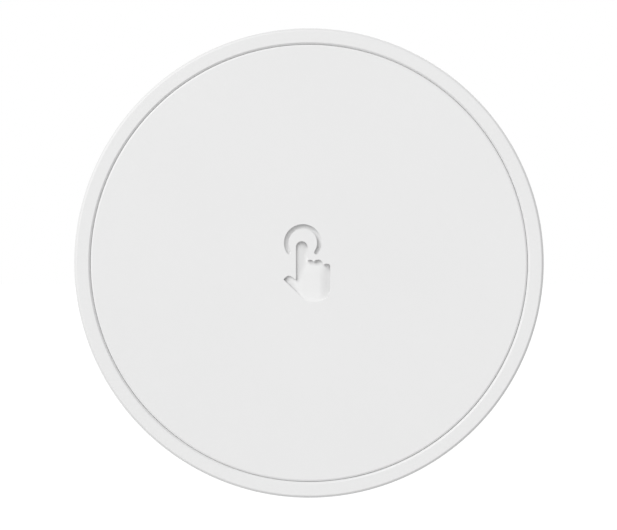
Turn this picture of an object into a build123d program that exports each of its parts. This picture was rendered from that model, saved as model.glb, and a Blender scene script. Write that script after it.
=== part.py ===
"""A battery radiator thermostat that screws onto a radiator valve, seen end on as a flat white disc.

The round end face is one large push button in a pull-off sleeve. Behind it lie the circuit board, two AA
cells in a moulded frame, a small motor and a train of spur gears, which turns a threaded gear and so drives
a spindle against the valve's pin. A ribbed union nut holds the whole to the valve.

Frame: +Z is up, +Y points into the radiator valve and -Y at the room. The origin lies on the axis, where the
nut's thread ends inside. A depth is a distance from there towards the room.
All sizes are in millimetres.
"""

import math
import os

from build123d import *

# Clearances and play
RUNNING = 0.08  # radial, for what turns or slides on its guide
PIN_FIT = 0.02  # radial, for a pin pressed into a plate
SEATED = 0.05  # between parts that rest against each other along the axis
LOOSE = 0.15  # around parts that are dropped into a pocket

# Cover sleeve and pushed face
SLEEVE_WALL = 1.78
RIM_ROUND = 0.4
MOUTH_CHAMFER = 0.2
FACE_GAP = 0.12
FACE_THICKNESS = 1.8
FACE_EDGE_CHAMFER = 0.15
FACE_TRAVEL = 0.4
LEDGE_THICKNESS = 1.0
LEDGE_WIDTH = 2.2
RETURN_RING_THICKNESS = 1.0
RETURN_RING_WIDTH = 1.5
HOOK_COUNT = 3
HOOK_ARC = 26.0  # degrees
HOOK_STEM = 0.9
HOOK_BARB = 0.75
HOOK_BARB_HEIGHT = 0.9
POST_RADIUS = 2.6
POST_HEIGHT = 0.6
FACE_RIB_COUNT = 6
FACE_RIB_WIDTH = 1.0
FACE_RIB_HEIGHT = 0.4
KEY_WIDTH = 2.0
KEY_HEIGHT = 1.0
PARTING_GAP = 0.35
NAIL_NOTCH_WIDTH = 8.0
NAIL_NOTCH_LENGTH = 1.0
NAIL_NOTCH_DEPTH = 1.1

# Union nut for an M30 x 1.5 valve; the thread itself is left as its plain core hole
THREAD_CORE_RADIUS = 14.19
THREAD_RELIEF_DEPTH = 0.45  # behind the thread, round the collar's flange
NUT_WALL = 3.81  # outside the thread's core, between the flutes
NUT_REACH = 9.5  # from the thread's inner end to the nut's mouth
NUT_SHOULDER_LENGTH = 4.1
NUT_NECK_STEP = 2.0
NUT_MOUTH_CHAMFER = 0.8
NUT_EDGE_CHAMFER = 0.5
NUT_FLUTES = 20
FLUTE_RADIUS = 1.6
FLUTE_DEPTH = 0.7
NUT_END_PLAY = 0.2
NUT_TO_SHELL = 0.8

# Collar that the nut pulls against the valve
COLLAR_SEAT_DEPTH = 0.3
COLLAR_FLANGE_PLAY = 0.29  # inside the thread's core
COLLAR_FLANGE_THICKNESS = 1.9
COLLAR_SHOULDER = 1.5
COLLAR_WALL = 1.8
COLLAR_FINGERS = 4
COLLAR_SLOT = 2.4
COLLAR_HOOK = 0.5
COLLAR_HOOK_LENGTH = 1.4
COLLAR_CHAMFER = 0.3

# Rear shell
SHOULDER_ROUND = 10.0
SHELL_INNER_CHAMFER = 4.0
NOSE_WALL = 2.2
SPIGOT_LENGTH = 5.9
SPIGOT_WALL = 1.5
GEAR_TO_SHELL = 0.8
SPIGOT_CLEARANCE = 0.12
SPIGOT_CHAMFER = 0.4
GRIP_PIPS = 3
GRIP_PIP_ARC = 10.0  # degrees
GRIP_PIP_LENGTH = 1.4
GRIP_PIP_GAP = 0.05

# Gear train: every pinion has the same teeth, and the wheels are given from the motor to the output
MODULE = 0.5
PRESSURE_ANGLE = 20.0
TOOTH_SHIFT = 0.4  # lengthens the pinions' teeth and shortens the wheels', so that ten teeth run clean
BACKLASH = 0.06
PINION_TEETH = 10
WHEEL_TEETH = 30
OUTPUT_TEETH = 44
STAGES = 3  # compound gears between the motor pinion and the output wheel
MOTOR_ANGLE = 90.0  # where the motor stands round the axis, in degrees from +X towards +Z
GEAR_WIDTH = 1.6
OUTPUT_WIDTH = 2.2
LAYER_GAP = 0.25
GEAR_HUB_RADIUS = 1.4
AXLE_RADIUS = 0.75
WEB_HOLES = 4
WEB_HOLE_RADIUS = 1.5
WEB_HOLE_ANGLE = 45.0  # of the first, in degrees

# Gearbox plates
PLATE_THICKNESS = 1.4
PLATE_TO_COLLAR = 0.2
PILLAR_ANGLES = (132.0, 228.0, 280.0)
PILLAR_INSET = 4.85  # from the plates' edge
PILLAR_RADIUS = 2.3
PLATE_MARGIN = 0.2  # round the pillars
SCREW_RADIUS = 1.0
SCREW_HEAD_RADIUS = 1.9
SCREW_HEAD_HEIGHT = 1.2
SCREW_BITE = 1.2  # how far the long screws reach into the shell's bosses

# Output gear and spindle
HUB_WALL = 1.1
JOURNAL_LENGTH = 0.45
WASHER_THICKNESS = 0.3
SPINDLE_RADIUS = 3.9
SPINDLE_TIP_DEPTH = 15.7  # drawn back, as for mounting
SPINDLE_STROKE = 4.2
TIP_PAD_THICKNESS = 1.2
TIP_PAD_INSET = 0.5  # from the spindle's side
TIP_CHAMFER = 0.3
TIP_STEM_RADIUS = 1.5
TIP_STEM_LENGTH = 2.4
WING_REACH = 6.0
WING_THICKNESS = 2.4
WING_LENGTH = 4.0
TOWER_WALL = 1.0

# Motor
MOTOR_RADIUS = 7.7
MOTOR_FLAT = 5.9  # from its axis to either flat
MOTOR_TO_TOWER = 0.45
MOTOR_LENGTH = 22.0
MOTOR_BOSS_RADIUS = 3.0
MOTOR_BOSS_LENGTH = 1.0
MOTOR_CAP_LENGTH = 1.8
MOTOR_CAP_INSET = 0.35
MOTOR_SHAFT_RADIUS = 1.0
MOTOR_SHAFT_BORE_DEPTH = 8.0
TERMINAL_SPACING = 8.4
TERMINAL_WIDTH = 1.6
TERMINAL_THICKNESS = 0.4
TERMINAL_LENGTH = 2.6
LEAD_RADIUS = 0.5
LEAD_SIDES = 6
LEAD_RISE = 3.9  # from the motor's axis to the board's lead holes
LEAD_OFFSET = 1.3  # either side of the middle, at the board
LEAD_HOLE = 2.2
LEAD_ARC_SHARE = 0.45  # of the shorter run beside a bend

# AA cells and their contacts
CELL_RADIUS = 7.25
CELL_LENGTH = 50.5
CELL_NUB_RADIUS = 2.75
CELL_NUB_HEIGHT = 1.5
CELL_EDGE_CHAMFER = 0.5
CELL_SIDE_GAP = 0.85
CELL_TO_TOWER = 1.72
CONTACT_THICKNESS = 0.3
CONTACT_SIDE = 10.0
SPRING_HEIGHT = 2.7
SPRING_SPAN = 8.0
SPRING_WIDTH = 5.0
TAIL_WIDTH = 2.0
TAIL_STANDS_OUT = 0.5
BRIDGE_WIDTH = 3.2
BRIDGE_TO_TOWER = 0.45

# Core frame
FRAME_WALL = 1.2
TROUGH_WALL = 1.0
TROUGH_OPEN_ANGLE = 160.0  # the part of each cell left open at the side, in degrees
WEB_THICKNESS = 1.4
WEB_PLACES = (0.55, 0.85)  # along the cells
SADDLE_PLACES = (0.55, 0.85)  # along the motor
FRAME_EDGE_GAP = 1.3

# Circuit board
BOARD_EDGE_GAP = 1.82  # inside the cover's ledge
BOARD_THICKNESS = 1.2
BOARD_STANDOFF = 0.4
BOARD_SCREW_ANGLES = (60.0, 120.0, 270.0)
BOARD_SCREW_INSET = 3.6
BOARD_SCREW_RADIUS = 0.9
BOARD_SCREW_HEAD_RADIUS = 1.7
BOARD_SCREW_HEAD_HEIGHT = 1.0
BOARD_SCREW_LENGTH = 4.6
BOSS_RADIUS = 2.0
CHIP_CHAMFER = 0.2

# Tactile switch under the middle of the face
SWITCH_SIDE = 6.2
SWITCH_BASE_HEIGHT = 1.3
SWITCH_COVER_HEIGHT = 1.0
SWITCH_STEM_RADIUS = 1.75
SWITCH_STEM_STANDS_OUT = 0.8

# Stations along the axis, stacked from the seat towards the room
NUT_MOUTH = -NUT_REACH
COLLAR_FLANGE_END = COLLAR_SEAT_DEPTH + COLLAR_FLANGE_THICKNESS
NUT_SHOULDER_START = COLLAR_FLANGE_END + NUT_END_PLAY
NUT_BACK = NUT_SHOULDER_START + NUT_SHOULDER_LENGTH
NOSE_DEPTH = NUT_BACK + NUT_TO_SHELL
NOSE_INSIDE = NOSE_DEPTH + NOSE_WALL
COLLAR_END = NOSE_INSIDE + SEATED + COLLAR_HOOK_LENGTH
SHELL_RIM = NOSE_DEPTH + SHOULDER_ROUND
SLEEVE_BACK = SHELL_RIM + PARTING_GAP
VALVE_PLATE = COLLAR_END + PLATE_TO_COLLAR
VALVE_PLATE_END = VALVE_PLATE + PLATE_THICKNESS
# The output wheel runs in layer 0, next to the valve plate, and the motor pinion in the last layer
LAYER_START = [VALVE_PLATE_END + LAYER_GAP]
for _ in range(STAGES):
    width_below = OUTPUT_WIDTH if len(LAYER_START) == 1 else GEAR_WIDTH
    LAYER_START.append(LAYER_START[-1] + width_below + LAYER_GAP)
GEARS_END = LAYER_START[-1] + GEAR_WIDTH
ROOM_PLATE = GEARS_END + LAYER_GAP
ROOM_PLATE_END = ROOM_PLATE + PLATE_THICKNESS
FRAME_BASE_END = ROOM_PLATE_END + FRAME_WALL
CELL_BAY = FRAME_BASE_END + CONTACT_THICKNESS
CELL_BAY_END = CELL_BAY + CELL_LENGTH + SPRING_HEIGHT
FRAME_FRONT = CELL_BAY_END + CONTACT_THICKNESS
FRAME_FRONT_END = FRAME_FRONT + FRAME_WALL
BOARD_BACK = FRAME_FRONT_END + BOARD_STANDOFF
BOARD_TOP = BOARD_BACK + BOARD_THICKNESS
SWITCH_TOP = BOARD_TOP + SWITCH_BASE_HEIGHT + SWITCH_COVER_HEIGHT
STEM_TOP = SWITCH_TOP + SWITCH_STEM_STANDS_OUT
FACE_BACK = STEM_TOP + SEATED + POST_HEIGHT
FACE_FRONT = FACE_BACK + FACE_THICKNESS
LEDGE_END = FACE_BACK - RETURN_RING_THICKNESS
LEDGE_START = LEDGE_END - LEDGE_THICKNESS

# Radii on the valve side, from the thread inwards
NUT_RADIUS = THREAD_CORE_RADIUS + NUT_WALL
COLLAR_FLANGE_RADIUS = THREAD_CORE_RADIUS - COLLAR_FLANGE_PLAY
COLLAR_TUBE_RADIUS = COLLAR_FLANGE_RADIUS - COLLAR_SHOULDER
COLLAR_BORE_RADIUS = COLLAR_TUBE_RADIUS - COLLAR_WALL
COLLAR_HOLE_RADIUS = COLLAR_TUBE_RADIUS + SEATED

# Gear radii. The compound gears stand on a ring round the output gear
PINION_PITCH = MODULE * PINION_TEETH / 2
WHEEL_PITCH = MODULE * WHEEL_TEETH / 2
OUTPUT_PITCH = MODULE * OUTPUT_TEETH / 2
WHEEL_TIP = WHEEL_PITCH + MODULE * (1 - TOOTH_SHIFT)
MESH_DISTANCE = PINION_PITCH + WHEEL_PITCH
AXLE_RING = PINION_PITCH + OUTPUT_PITCH
AXLE_STEP = 2 * math.degrees(math.asin(MESH_DISTANCE / (2 * AXLE_RING)))
HUB_RADIUS = SPINDLE_RADIUS + HUB_WALL
TIP_PAD_RADIUS = SPINDLE_RADIUS - TIP_PAD_INSET

# The motor and the cells stand round the tower that guides the spindle
TOWER_RADIUS = WING_REACH + LOOSE + TOWER_WALL
MOTOR_RING = TOWER_RADIUS + MOTOR_TO_TOWER + MOTOR_FLAT
MOTOR_STEP = math.degrees(
    math.acos((MOTOR_RING**2 + AXLE_RING**2 - MESH_DISTANCE**2) / (2 * MOTOR_RING * AXLE_RING))
)
CELL_X = TOWER_RADIUS + CELL_TO_TOWER + CELL_RADIUS
BRIDGE_DROP = TOWER_RADIUS + BRIDGE_TO_TOWER + BRIDGE_WIDTH / 2

# The body is just wide enough for the cells and for the gears
CELL_REACH = CELL_X + CELL_RADIUS + CELL_SIDE_GAP
GEAR_REACH = AXLE_RING + WHEEL_TIP + GEAR_TO_SHELL + SPIGOT_WALL + SPIGOT_CLEARANCE
SLEEVE_BORE = max(CELL_REACH, GEAR_REACH)
BODY_RADIUS = SLEEVE_BORE + SLEEVE_WALL
FACE_RADIUS = SLEEVE_BORE - FACE_GAP
LEDGE_BORE = SLEEVE_BORE - LEDGE_WIDTH
SPIGOT_RADIUS = SLEEVE_BORE - SPIGOT_CLEARANCE
SPIGOT_BORE = SPIGOT_RADIUS - SPIGOT_WALL
PLATE_RADIUS = SPIGOT_BORE - LOOSE
PILLAR_RING = PLATE_RADIUS - PILLAR_INSET
FRAME_RADIUS = SLEEVE_BORE - FRAME_EDGE_GAP
BOARD_RADIUS = LEDGE_BORE - BOARD_EDGE_GAP
BOARD_SCREW_RING = BOARD_RADIUS - BOARD_SCREW_INSET


def turned(*corners, bend=None):
    """A solid of revolution about the axis, from corners (radius, depth).

    The last corner meets the first in a straight line, or in an arc through the point bend.
    """
    points = [(radius, -depth) for radius, depth in corners]
    if bend is None:
        return revolve(make_face(Polyline(points, close=True)), Axis.Y)
    arc = ThreePointArc(points[-1], (bend[0], -bend[1]), points[0])
    return revolve(make_face([Polyline(points), arc]), Axis.Y)


def arc_middle(radius, depth, rounding, towards_room):
    """The middle of a quarter arc that rounds off an outer edge, at that radius and depth."""
    inset = rounding * (1 - math.sqrt(0.5))
    return radius - inset, depth - inset if towards_room else depth + inset


def section(sketch, start, end):
    """A sketch across the axis, (x, z), extruded from one depth to another."""
    return extrude(Plane.XZ.offset(start) * sketch, end - start)


def rod(radius, start, end, x=0.0, z=0.0):
    """A cylinder along the axis."""
    return section(Pos(x, z) * Circle(radius), start, end)


def tube(outer, inner, start, end):
    """A ring round the axis."""
    return section(Circle(outer) - Circle(inner), start, end)


def block(width, height, start, end, x=0.0, z=0.0):
    """A straight bar along the axis, centred on (x, z)."""
    return section(Pos(x, z) * Rectangle(width, height), start, end)


def on_ring(radius, angle):
    """The point (x, z) at that angle from +X towards +Z."""
    return radius * math.cos(math.radians(angle)), radius * math.sin(math.radians(angle))


def wedge(outer, inner, angle, spread, start, end):
    """The part of a ring within half the spread either side of an angle, all in degrees."""
    bow = [on_ring(outer, angle + share * spread / 2) for share in (-1, 0, 1)]
    hollow = [on_ring(inner, angle + share * spread / 2) for share in (1, 0, -1)]
    outline = make_face(
        [
            ThreePointArc(*bow),
            Line(bow[2], hollow[0]),
            ThreePointArc(*hollow),
            Line(hollow[2], bow[0]),
        ]
    )
    return section(outline, start, end)


def axle_place(step):
    """Where an axle stands: the motor's for step 0, and after it those of the compound gears."""
    if step == 0:
        return on_ring(MOTOR_RING, MOTOR_ANGLE)
    return on_ring(AXLE_RING, MOTOR_ANGLE - MOTOR_STEP - (step - 1) * AXLE_STEP)


# Gears


def tooth_radii(teeth, shift):
    """The pitch, base, tip and root radius of a gear."""
    pitch = MODULE * teeth / 2
    base = pitch * math.cos(math.radians(PRESSURE_ANGLE))
    return pitch, base, pitch + MODULE * (1 + shift), pitch - MODULE * (1.25 - shift)


def involute(angle):
    return math.tan(angle) - angle


def gear_outline(teeth, shift, first_tooth):
    """The outline of a spur gear with one tooth centred at the angle first_tooth, in radians."""
    pitch, base, tip, root = tooth_radii(teeth, shift)
    pressure = math.radians(PRESSURE_ANGLE)
    thickness = MODULE * (math.pi / 2 + 2 * shift * math.tan(pressure)) - BACKLASH
    flank_foot = max(base, root)

    def half_width(radius):
        """The angle from a tooth's centre line to its flank at a radius."""
        return thickness / (2 * pitch) + involute(pressure) - involute(math.acos(min(1, base / radius)))

    def point(radius, angle):
        return Vector(radius * math.cos(angle), radius * math.sin(angle))

    def flank(centre, side, radii):
        return [point(radius, centre + side * half_width(radius)) for radius in radii]

    edges = []
    spacing = 2 * math.pi / teeth
    middle = (flank_foot + tip) / 2
    for i in range(teeth):
        centre = first_tooth + i * spacing
        rising = flank(centre, -1, (flank_foot, middle, tip))
        falling = flank(centre, 1, (tip, middle, flank_foot))
        root_in = point(root, centre - half_width(flank_foot))
        root_out = point(root, centre + half_width(flank_foot))
        next_root = point(root, centre + spacing - half_width(flank_foot))
        if root < base:
            edges.append(Line(root_in, rising[0]))
        edges.append(ThreePointArc(*rising))
        edges.append(Line(rising[2], falling[0]))
        edges.append(ThreePointArc(*falling))
        if root < base:
            edges.append(Line(falling[2], root_out))
        edges.append(Line(root_out, next_root))
    return make_face(edges)


def meshing_tooth(driver_teeth, driver_tooth, line_angle, driven_teeth):
    """The first-tooth angle that puts a driven gear in mesh, where line_angle points from the driver to it."""
    driver_pitch = 2 * math.pi / driver_teeth
    driven_pitch = 2 * math.pi / driven_teeth
    past_tooth = ((line_angle - driver_tooth) / driver_pitch) % 1
    return line_angle + math.pi - ((0.5 - past_tooth) % 1) * driven_pitch


def gear_phases():
    """First-tooth angles of the motor pinion, each compound gear and the output wheel, in that order."""
    phases = [0.0]
    for step in range(STAGES + 1):
        here = axle_place(step)
        last = step == STAGES
        there = (0.0, 0.0) if last else axle_place(step + 1)
        line = math.atan2(there[1] - here[1], there[0] - here[0])
        driven = OUTPUT_TEETH if last else WHEEL_TEETH
        phases.append(meshing_tooth(PINION_TEETH, phases[-1], line, driven))
    return phases


def motor_pinion():
    x, z = axle_place(0)
    start = LAYER_START[-1]
    outline = gear_outline(PINION_TEETH, TOOTH_SHIFT, gear_phases()[0]) - Circle(MOTOR_SHAFT_RADIUS)
    return section(Pos(x, z) * outline, start, start + GEAR_WIDTH)


def compound_gear(step):
    """A wheel driven by the gear before it, with the pinion that drives the next, on one long hub."""
    x, z = axle_place(step)
    phase = gear_phases()[step]
    wheel_layer = LAYER_START[STAGES + 1 - step]
    pinion_layer = LAYER_START[STAGES - step]
    wheel = section(gear_outline(WHEEL_TEETH, -TOOTH_SHIFT, phase), wheel_layer, wheel_layer + GEAR_WIDTH)
    pinion = section(gear_outline(PINION_TEETH, TOOTH_SHIFT, phase), pinion_layer, wheel_layer)
    hub = rod(GEAR_HUB_RADIUS, VALVE_PLATE_END + SEATED, ROOM_PLATE - SEATED)
    bore = rod(AXLE_RADIUS + RUNNING, VALVE_PLATE, ROOM_PLATE_END)
    return Pos(x, 0, z) * (wheel + pinion + hub - bore)


def output_gear():
    """The last wheel, whose threaded hub drives the spindle along; both of its ends run in the plates."""
    start = LAYER_START[0]
    wheel = section(gear_outline(OUTPUT_TEETH, -TOOTH_SHIFT, gear_phases()[-1]), start, start + OUTPUT_WIDTH)
    root = tooth_radii(OUTPUT_TEETH, -TOOTH_SHIFT)[3]
    hole_ring = (HUB_RADIUS + root) / 2
    for i in range(WEB_HOLES):
        x, z = on_ring(hole_ring, WEB_HOLE_ANGLE + i * 360 / WEB_HOLES)
        wheel -= rod(WEB_HOLE_RADIUS, start, start + OUTPUT_WIDTH, x, z)
    hub = rod(HUB_RADIUS, VALVE_PLATE_END - JOURNAL_LENGTH, ROOM_PLATE + JOURNAL_LENGTH)
    return wheel + hub - rod(SPINDLE_RADIUS + RUNNING, VALVE_PLATE, ROOM_PLATE_END)


def thrust_washer():
    """Takes the valve spring's push from the output gear's hub to the room plate."""
    start = ROOM_PLATE + JOURNAL_LENGTH + SEATED
    return tube(HUB_RADIUS - SEATED, SPINDLE_RADIUS + LOOSE, start, start + WASHER_THICKNESS)


# Gearbox


def pillar_places():
    return [on_ring(PILLAR_RING, angle) for angle in PILLAR_ANGLES]


def gearbox_valve_plate():
    """The plate next to the valve, with the pillars that hold the other plate off it."""
    plate = rod(PILLAR_RING + PILLAR_RADIUS + PLATE_MARGIN, VALVE_PLATE, VALVE_PLATE_END)
    for x, z in pillar_places():
        plate += rod(PILLAR_RADIUS, VALVE_PLATE, ROOM_PLATE, x, z)
    for x, z in pillar_places():
        plate -= rod(SCREW_RADIUS + LOOSE, VALVE_PLATE, ROOM_PLATE, x, z)
    for step in range(1, STAGES + 1):
        x, z = axle_place(step)
        plate -= rod(AXLE_RADIUS + PIN_FIT, VALVE_PLATE, VALVE_PLATE_END, x, z)
    plate -= rod(SPINDLE_RADIUS + LOOSE, VALVE_PLATE, VALVE_PLATE_END)
    return plate - rod(HUB_RADIUS + RUNNING, VALVE_PLATE_END - JOURNAL_LENGTH - SEATED, VALVE_PLATE_END)


def gearbox_room_plate():
    """The plate that carries the motor, with a tower whose two keyways keep the spindle from turning."""
    plate = rod(PLATE_RADIUS, ROOM_PLATE, ROOM_PLATE_END)
    tower_end = SPINDLE_WING_START + WING_LENGTH + LOOSE
    plate += rod(TOWER_RADIUS, ROOM_PLATE, tower_end)
    keyway = 2 * (WING_REACH + LOOSE)
    plate -= block(keyway, WING_THICKNESS + 2 * RUNNING, ROOM_PLATE_END, tower_end)
    plate -= rod(SPINDLE_RADIUS + LOOSE, ROOM_PLATE, tower_end)
    washer_seat = ROOM_PLATE + JOURNAL_LENGTH + 2 * SEATED + WASHER_THICKNESS
    plate -= rod(HUB_RADIUS + RUNNING, ROOM_PLATE, washer_seat)
    for x, z in pillar_places():
        plate -= rod(SCREW_RADIUS + LOOSE, ROOM_PLATE, ROOM_PLATE_END, x, z)
    for step in range(1, STAGES + 1):
        x, z = axle_place(step)
        plate -= rod(AXLE_RADIUS + PIN_FIT, ROOM_PLATE, ROOM_PLATE_END, x, z)
    x, z = axle_place(0)
    return plate - rod(MOTOR_BOSS_RADIUS + SEATED, ROOM_PLATE, ROOM_PLATE_END, x, z)


def gear_axles():
    """Steel pins, pressed into both plates."""
    places = [axle_place(step) for step in range(1, STAGES + 1)]
    return Compound([rod(AXLE_RADIUS, VALVE_PLATE, ROOM_PLATE_END, x, z).solid() for x, z in places])


def gearbox_screws():
    """Long screws that clamp the core frame, both plates and the shell together."""
    screws = []
    for x, z in pillar_places():
        tip = VALVE_PLATE - SCREW_BITE
        screw = rod(SCREW_RADIUS, tip, FRAME_BASE_END, x, z)
        screw += rod(SCREW_HEAD_RADIUS, FRAME_BASE_END, FRAME_BASE_END + SCREW_HEAD_HEIGHT, x, z)
        screws.append(screw.solid())
    return Compound(screws)


# Spindle

SPINDLE_WING_START = ROOM_PLATE_END + SPINDLE_STROKE + SEATED


def spindle():
    """The screw that the output gear drives along, with two wings that run in the tower's keyways."""
    wing_end = SPINDLE_WING_START + WING_LENGTH
    screw = rod(SPINDLE_RADIUS, SPINDLE_TIP_DEPTH + TIP_PAD_THICKNESS, wing_end)
    screw += block(2 * WING_REACH, WING_THICKNESS, SPINDLE_WING_START, wing_end)
    socket_end = SPINDLE_TIP_DEPTH + TIP_PAD_THICKNESS + TIP_STEM_LENGTH
    return screw - rod(TIP_STEM_RADIUS + PIN_FIT, SPINDLE_TIP_DEPTH, socket_end)


def spindle_tip():
    """The hard pad that pushes on the valve's pin."""
    pad_end = SPINDLE_TIP_DEPTH + TIP_PAD_THICKNESS
    pad = turned(
        (0, SPINDLE_TIP_DEPTH),
        (TIP_PAD_RADIUS - TIP_CHAMFER, SPINDLE_TIP_DEPTH),
        (TIP_PAD_RADIUS, SPINDLE_TIP_DEPTH + TIP_CHAMFER),
        (TIP_PAD_RADIUS, pad_end),
        (0, pad_end),
    )
    return pad + rod(TIP_STEM_RADIUS, pad_end, pad_end + TIP_STEM_LENGTH)


# Valve side


def union_nut():
    """The ribbed nut that pulls the collar onto the valve."""
    collar_run = COLLAR_TUBE_RADIUS + RUNNING
    nut = turned(
        (THREAD_CORE_RADIUS + NUT_MOUTH_CHAMFER, NUT_MOUTH),
        (NUT_RADIUS - NUT_EDGE_CHAMFER, NUT_MOUTH),
        (NUT_RADIUS, NUT_MOUTH + NUT_EDGE_CHAMFER),
        (NUT_RADIUS, NUT_SHOULDER_START),
        (NUT_RADIUS - NUT_NECK_STEP, NUT_BACK),
        (collar_run, NUT_BACK),
        (collar_run, NUT_SHOULDER_START),
        (THREAD_CORE_RADIUS + THREAD_RELIEF_DEPTH, NUT_SHOULDER_START),
        (THREAD_CORE_RADIUS + THREAD_RELIEF_DEPTH, 0),
        (THREAD_CORE_RADIUS, 0),
        (THREAD_CORE_RADIUS, NUT_MOUTH + NUT_MOUTH_CHAMFER),
    )
    flute_ring = NUT_RADIUS - FLUTE_DEPTH + FLUTE_RADIUS
    flutes = []
    for i in range(NUT_FLUTES):
        x, z = on_ring(flute_ring, i * 360 / NUT_FLUTES)
        flutes.append(rod(FLUTE_RADIUS, NUT_MOUTH, NUT_BACK, x, z))
    return nut - flutes


def neck_collar():
    """A flanged tube, pushed through the nut from outside, whose spring fingers hook behind the nose."""
    hook_start = NOSE_INSIDE + SEATED
    hook_radius = COLLAR_TUBE_RADIUS + COLLAR_HOOK
    collar = turned(
        (COLLAR_BORE_RADIUS, COLLAR_SEAT_DEPTH),
        (COLLAR_FLANGE_RADIUS - COLLAR_CHAMFER, COLLAR_SEAT_DEPTH),
        (COLLAR_FLANGE_RADIUS, COLLAR_SEAT_DEPTH + COLLAR_CHAMFER),
        (COLLAR_FLANGE_RADIUS, COLLAR_FLANGE_END),
        (COLLAR_TUBE_RADIUS, COLLAR_FLANGE_END),
        (COLLAR_TUBE_RADIUS, hook_start),
        (hook_radius, hook_start),
        (COLLAR_TUBE_RADIUS, COLLAR_END),
        (COLLAR_BORE_RADIUS, COLLAR_END),
    )
    for i in range(COLLAR_FINGERS):
        slot = block(hook_radius, COLLAR_SLOT, NOSE_DEPTH, COLLAR_END, hook_radius, 0)
        collar -= Rot(0, 45 + i * 360 / COLLAR_FINGERS, 0) * slot
    return collar


def rear_shell():
    """The rounded shoulder behind the nut, with the spigot that the sleeve slides over."""
    spigot_end = SHELL_RIM + SPIGOT_LENGTH
    shell = turned(
        (BODY_RADIUS, SHELL_RIM),
        (SPIGOT_RADIUS, SHELL_RIM),
        (SPIGOT_RADIUS, spigot_end - SPIGOT_CHAMFER),
        (SPIGOT_RADIUS - SPIGOT_CHAMFER, spigot_end),
        (SPIGOT_BORE, spigot_end),
        (SPIGOT_BORE, NOSE_INSIDE + SHELL_INNER_CHAMFER),
        (SPIGOT_BORE - SHELL_INNER_CHAMFER, NOSE_INSIDE),
        (COLLAR_HOLE_RADIUS, NOSE_INSIDE),
        (COLLAR_HOLE_RADIUS, NOSE_DEPTH),
        (BODY_RADIUS - SHOULDER_ROUND, NOSE_DEPTH),
        bend=arc_middle(BODY_RADIUS, NOSE_DEPTH, SHOULDER_ROUND, towards_room=False),
    )
    for x, z in pillar_places():
        shell += rod(PILLAR_RADIUS, NOSE_INSIDE, VALVE_PLATE, x, z)
        shell -= rod(SCREW_RADIUS + PIN_FIT, VALVE_PLATE - SCREW_BITE, VALVE_PLATE, x, z)
    pip_depth = SHELL_RIM + SPIGOT_LENGTH / 2
    for i in range(GRIP_PIPS):
        shell += wedge(
            SLEEVE_BORE - GRIP_PIP_GAP,
            SPIGOT_BORE,
            90 + i * 360 / GRIP_PIPS,
            GRIP_PIP_ARC,
            pip_depth - GRIP_PIP_LENGTH / 2,
            pip_depth + GRIP_PIP_LENGTH / 2,
        )
    key_slot = KEY_WIDTH + 2 * LOOSE
    slot_height = 2 * KEY_HEIGHT + SPIGOT_WALL
    return shell - block(key_slot, slot_height, SHELL_RIM, spigot_end, 0, -SPIGOT_RADIUS)


# Cover


def outer_sleeve():
    """The pull-off cover: a plain tube with a ledge for the face and a key that sets it the right way up."""
    sleeve = turned(
        (BODY_RADIUS - RIM_ROUND, FACE_FRONT),
        (SLEEVE_BORE + FACE_EDGE_CHAMFER, FACE_FRONT),
        (SLEEVE_BORE, FACE_FRONT - FACE_EDGE_CHAMFER),
        (SLEEVE_BORE, LEDGE_END),
        (LEDGE_BORE, LEDGE_END),
        (LEDGE_BORE, LEDGE_START),
        (SLEEVE_BORE, LEDGE_START),
        (SLEEVE_BORE, SLEEVE_BACK + MOUTH_CHAMFER),
        (SLEEVE_BORE + MOUTH_CHAMFER, SLEEVE_BACK),
        (BODY_RADIUS - MOUTH_CHAMFER, SLEEVE_BACK),
        (BODY_RADIUS, SLEEVE_BACK + MOUTH_CHAMFER),
        (BODY_RADIUS, FACE_FRONT - RIM_ROUND),
        bend=arc_middle(BODY_RADIUS, FACE_FRONT, RIM_ROUND, towards_room=True),
    )
    key = block(KEY_WIDTH, KEY_HEIGHT + SLEEVE_WALL / 2, SLEEVE_BACK, LEDGE_START)
    key_middle = SLEEVE_BORE - KEY_HEIGHT + (KEY_HEIGHT + SLEEVE_WALL / 2) / 2
    nail_notch = SLEEVE_BACK, SLEEVE_BACK + NAIL_NOTCH_LENGTH
    sleeve -= block(NAIL_NOTCH_WIDTH, 2 * NAIL_NOTCH_DEPTH, *nail_notch, 0, -BODY_RADIUS)
    return sleeve + Pos(0, 0, -key_middle) * key


def face_return_ring():
    """A soft ring between the ledge and the face, which pushes the face out again."""
    outer = FACE_RADIUS - LOOSE
    return tube(outer, outer - RETURN_RING_WIDTH, LEDGE_END, FACE_BACK)


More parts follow.
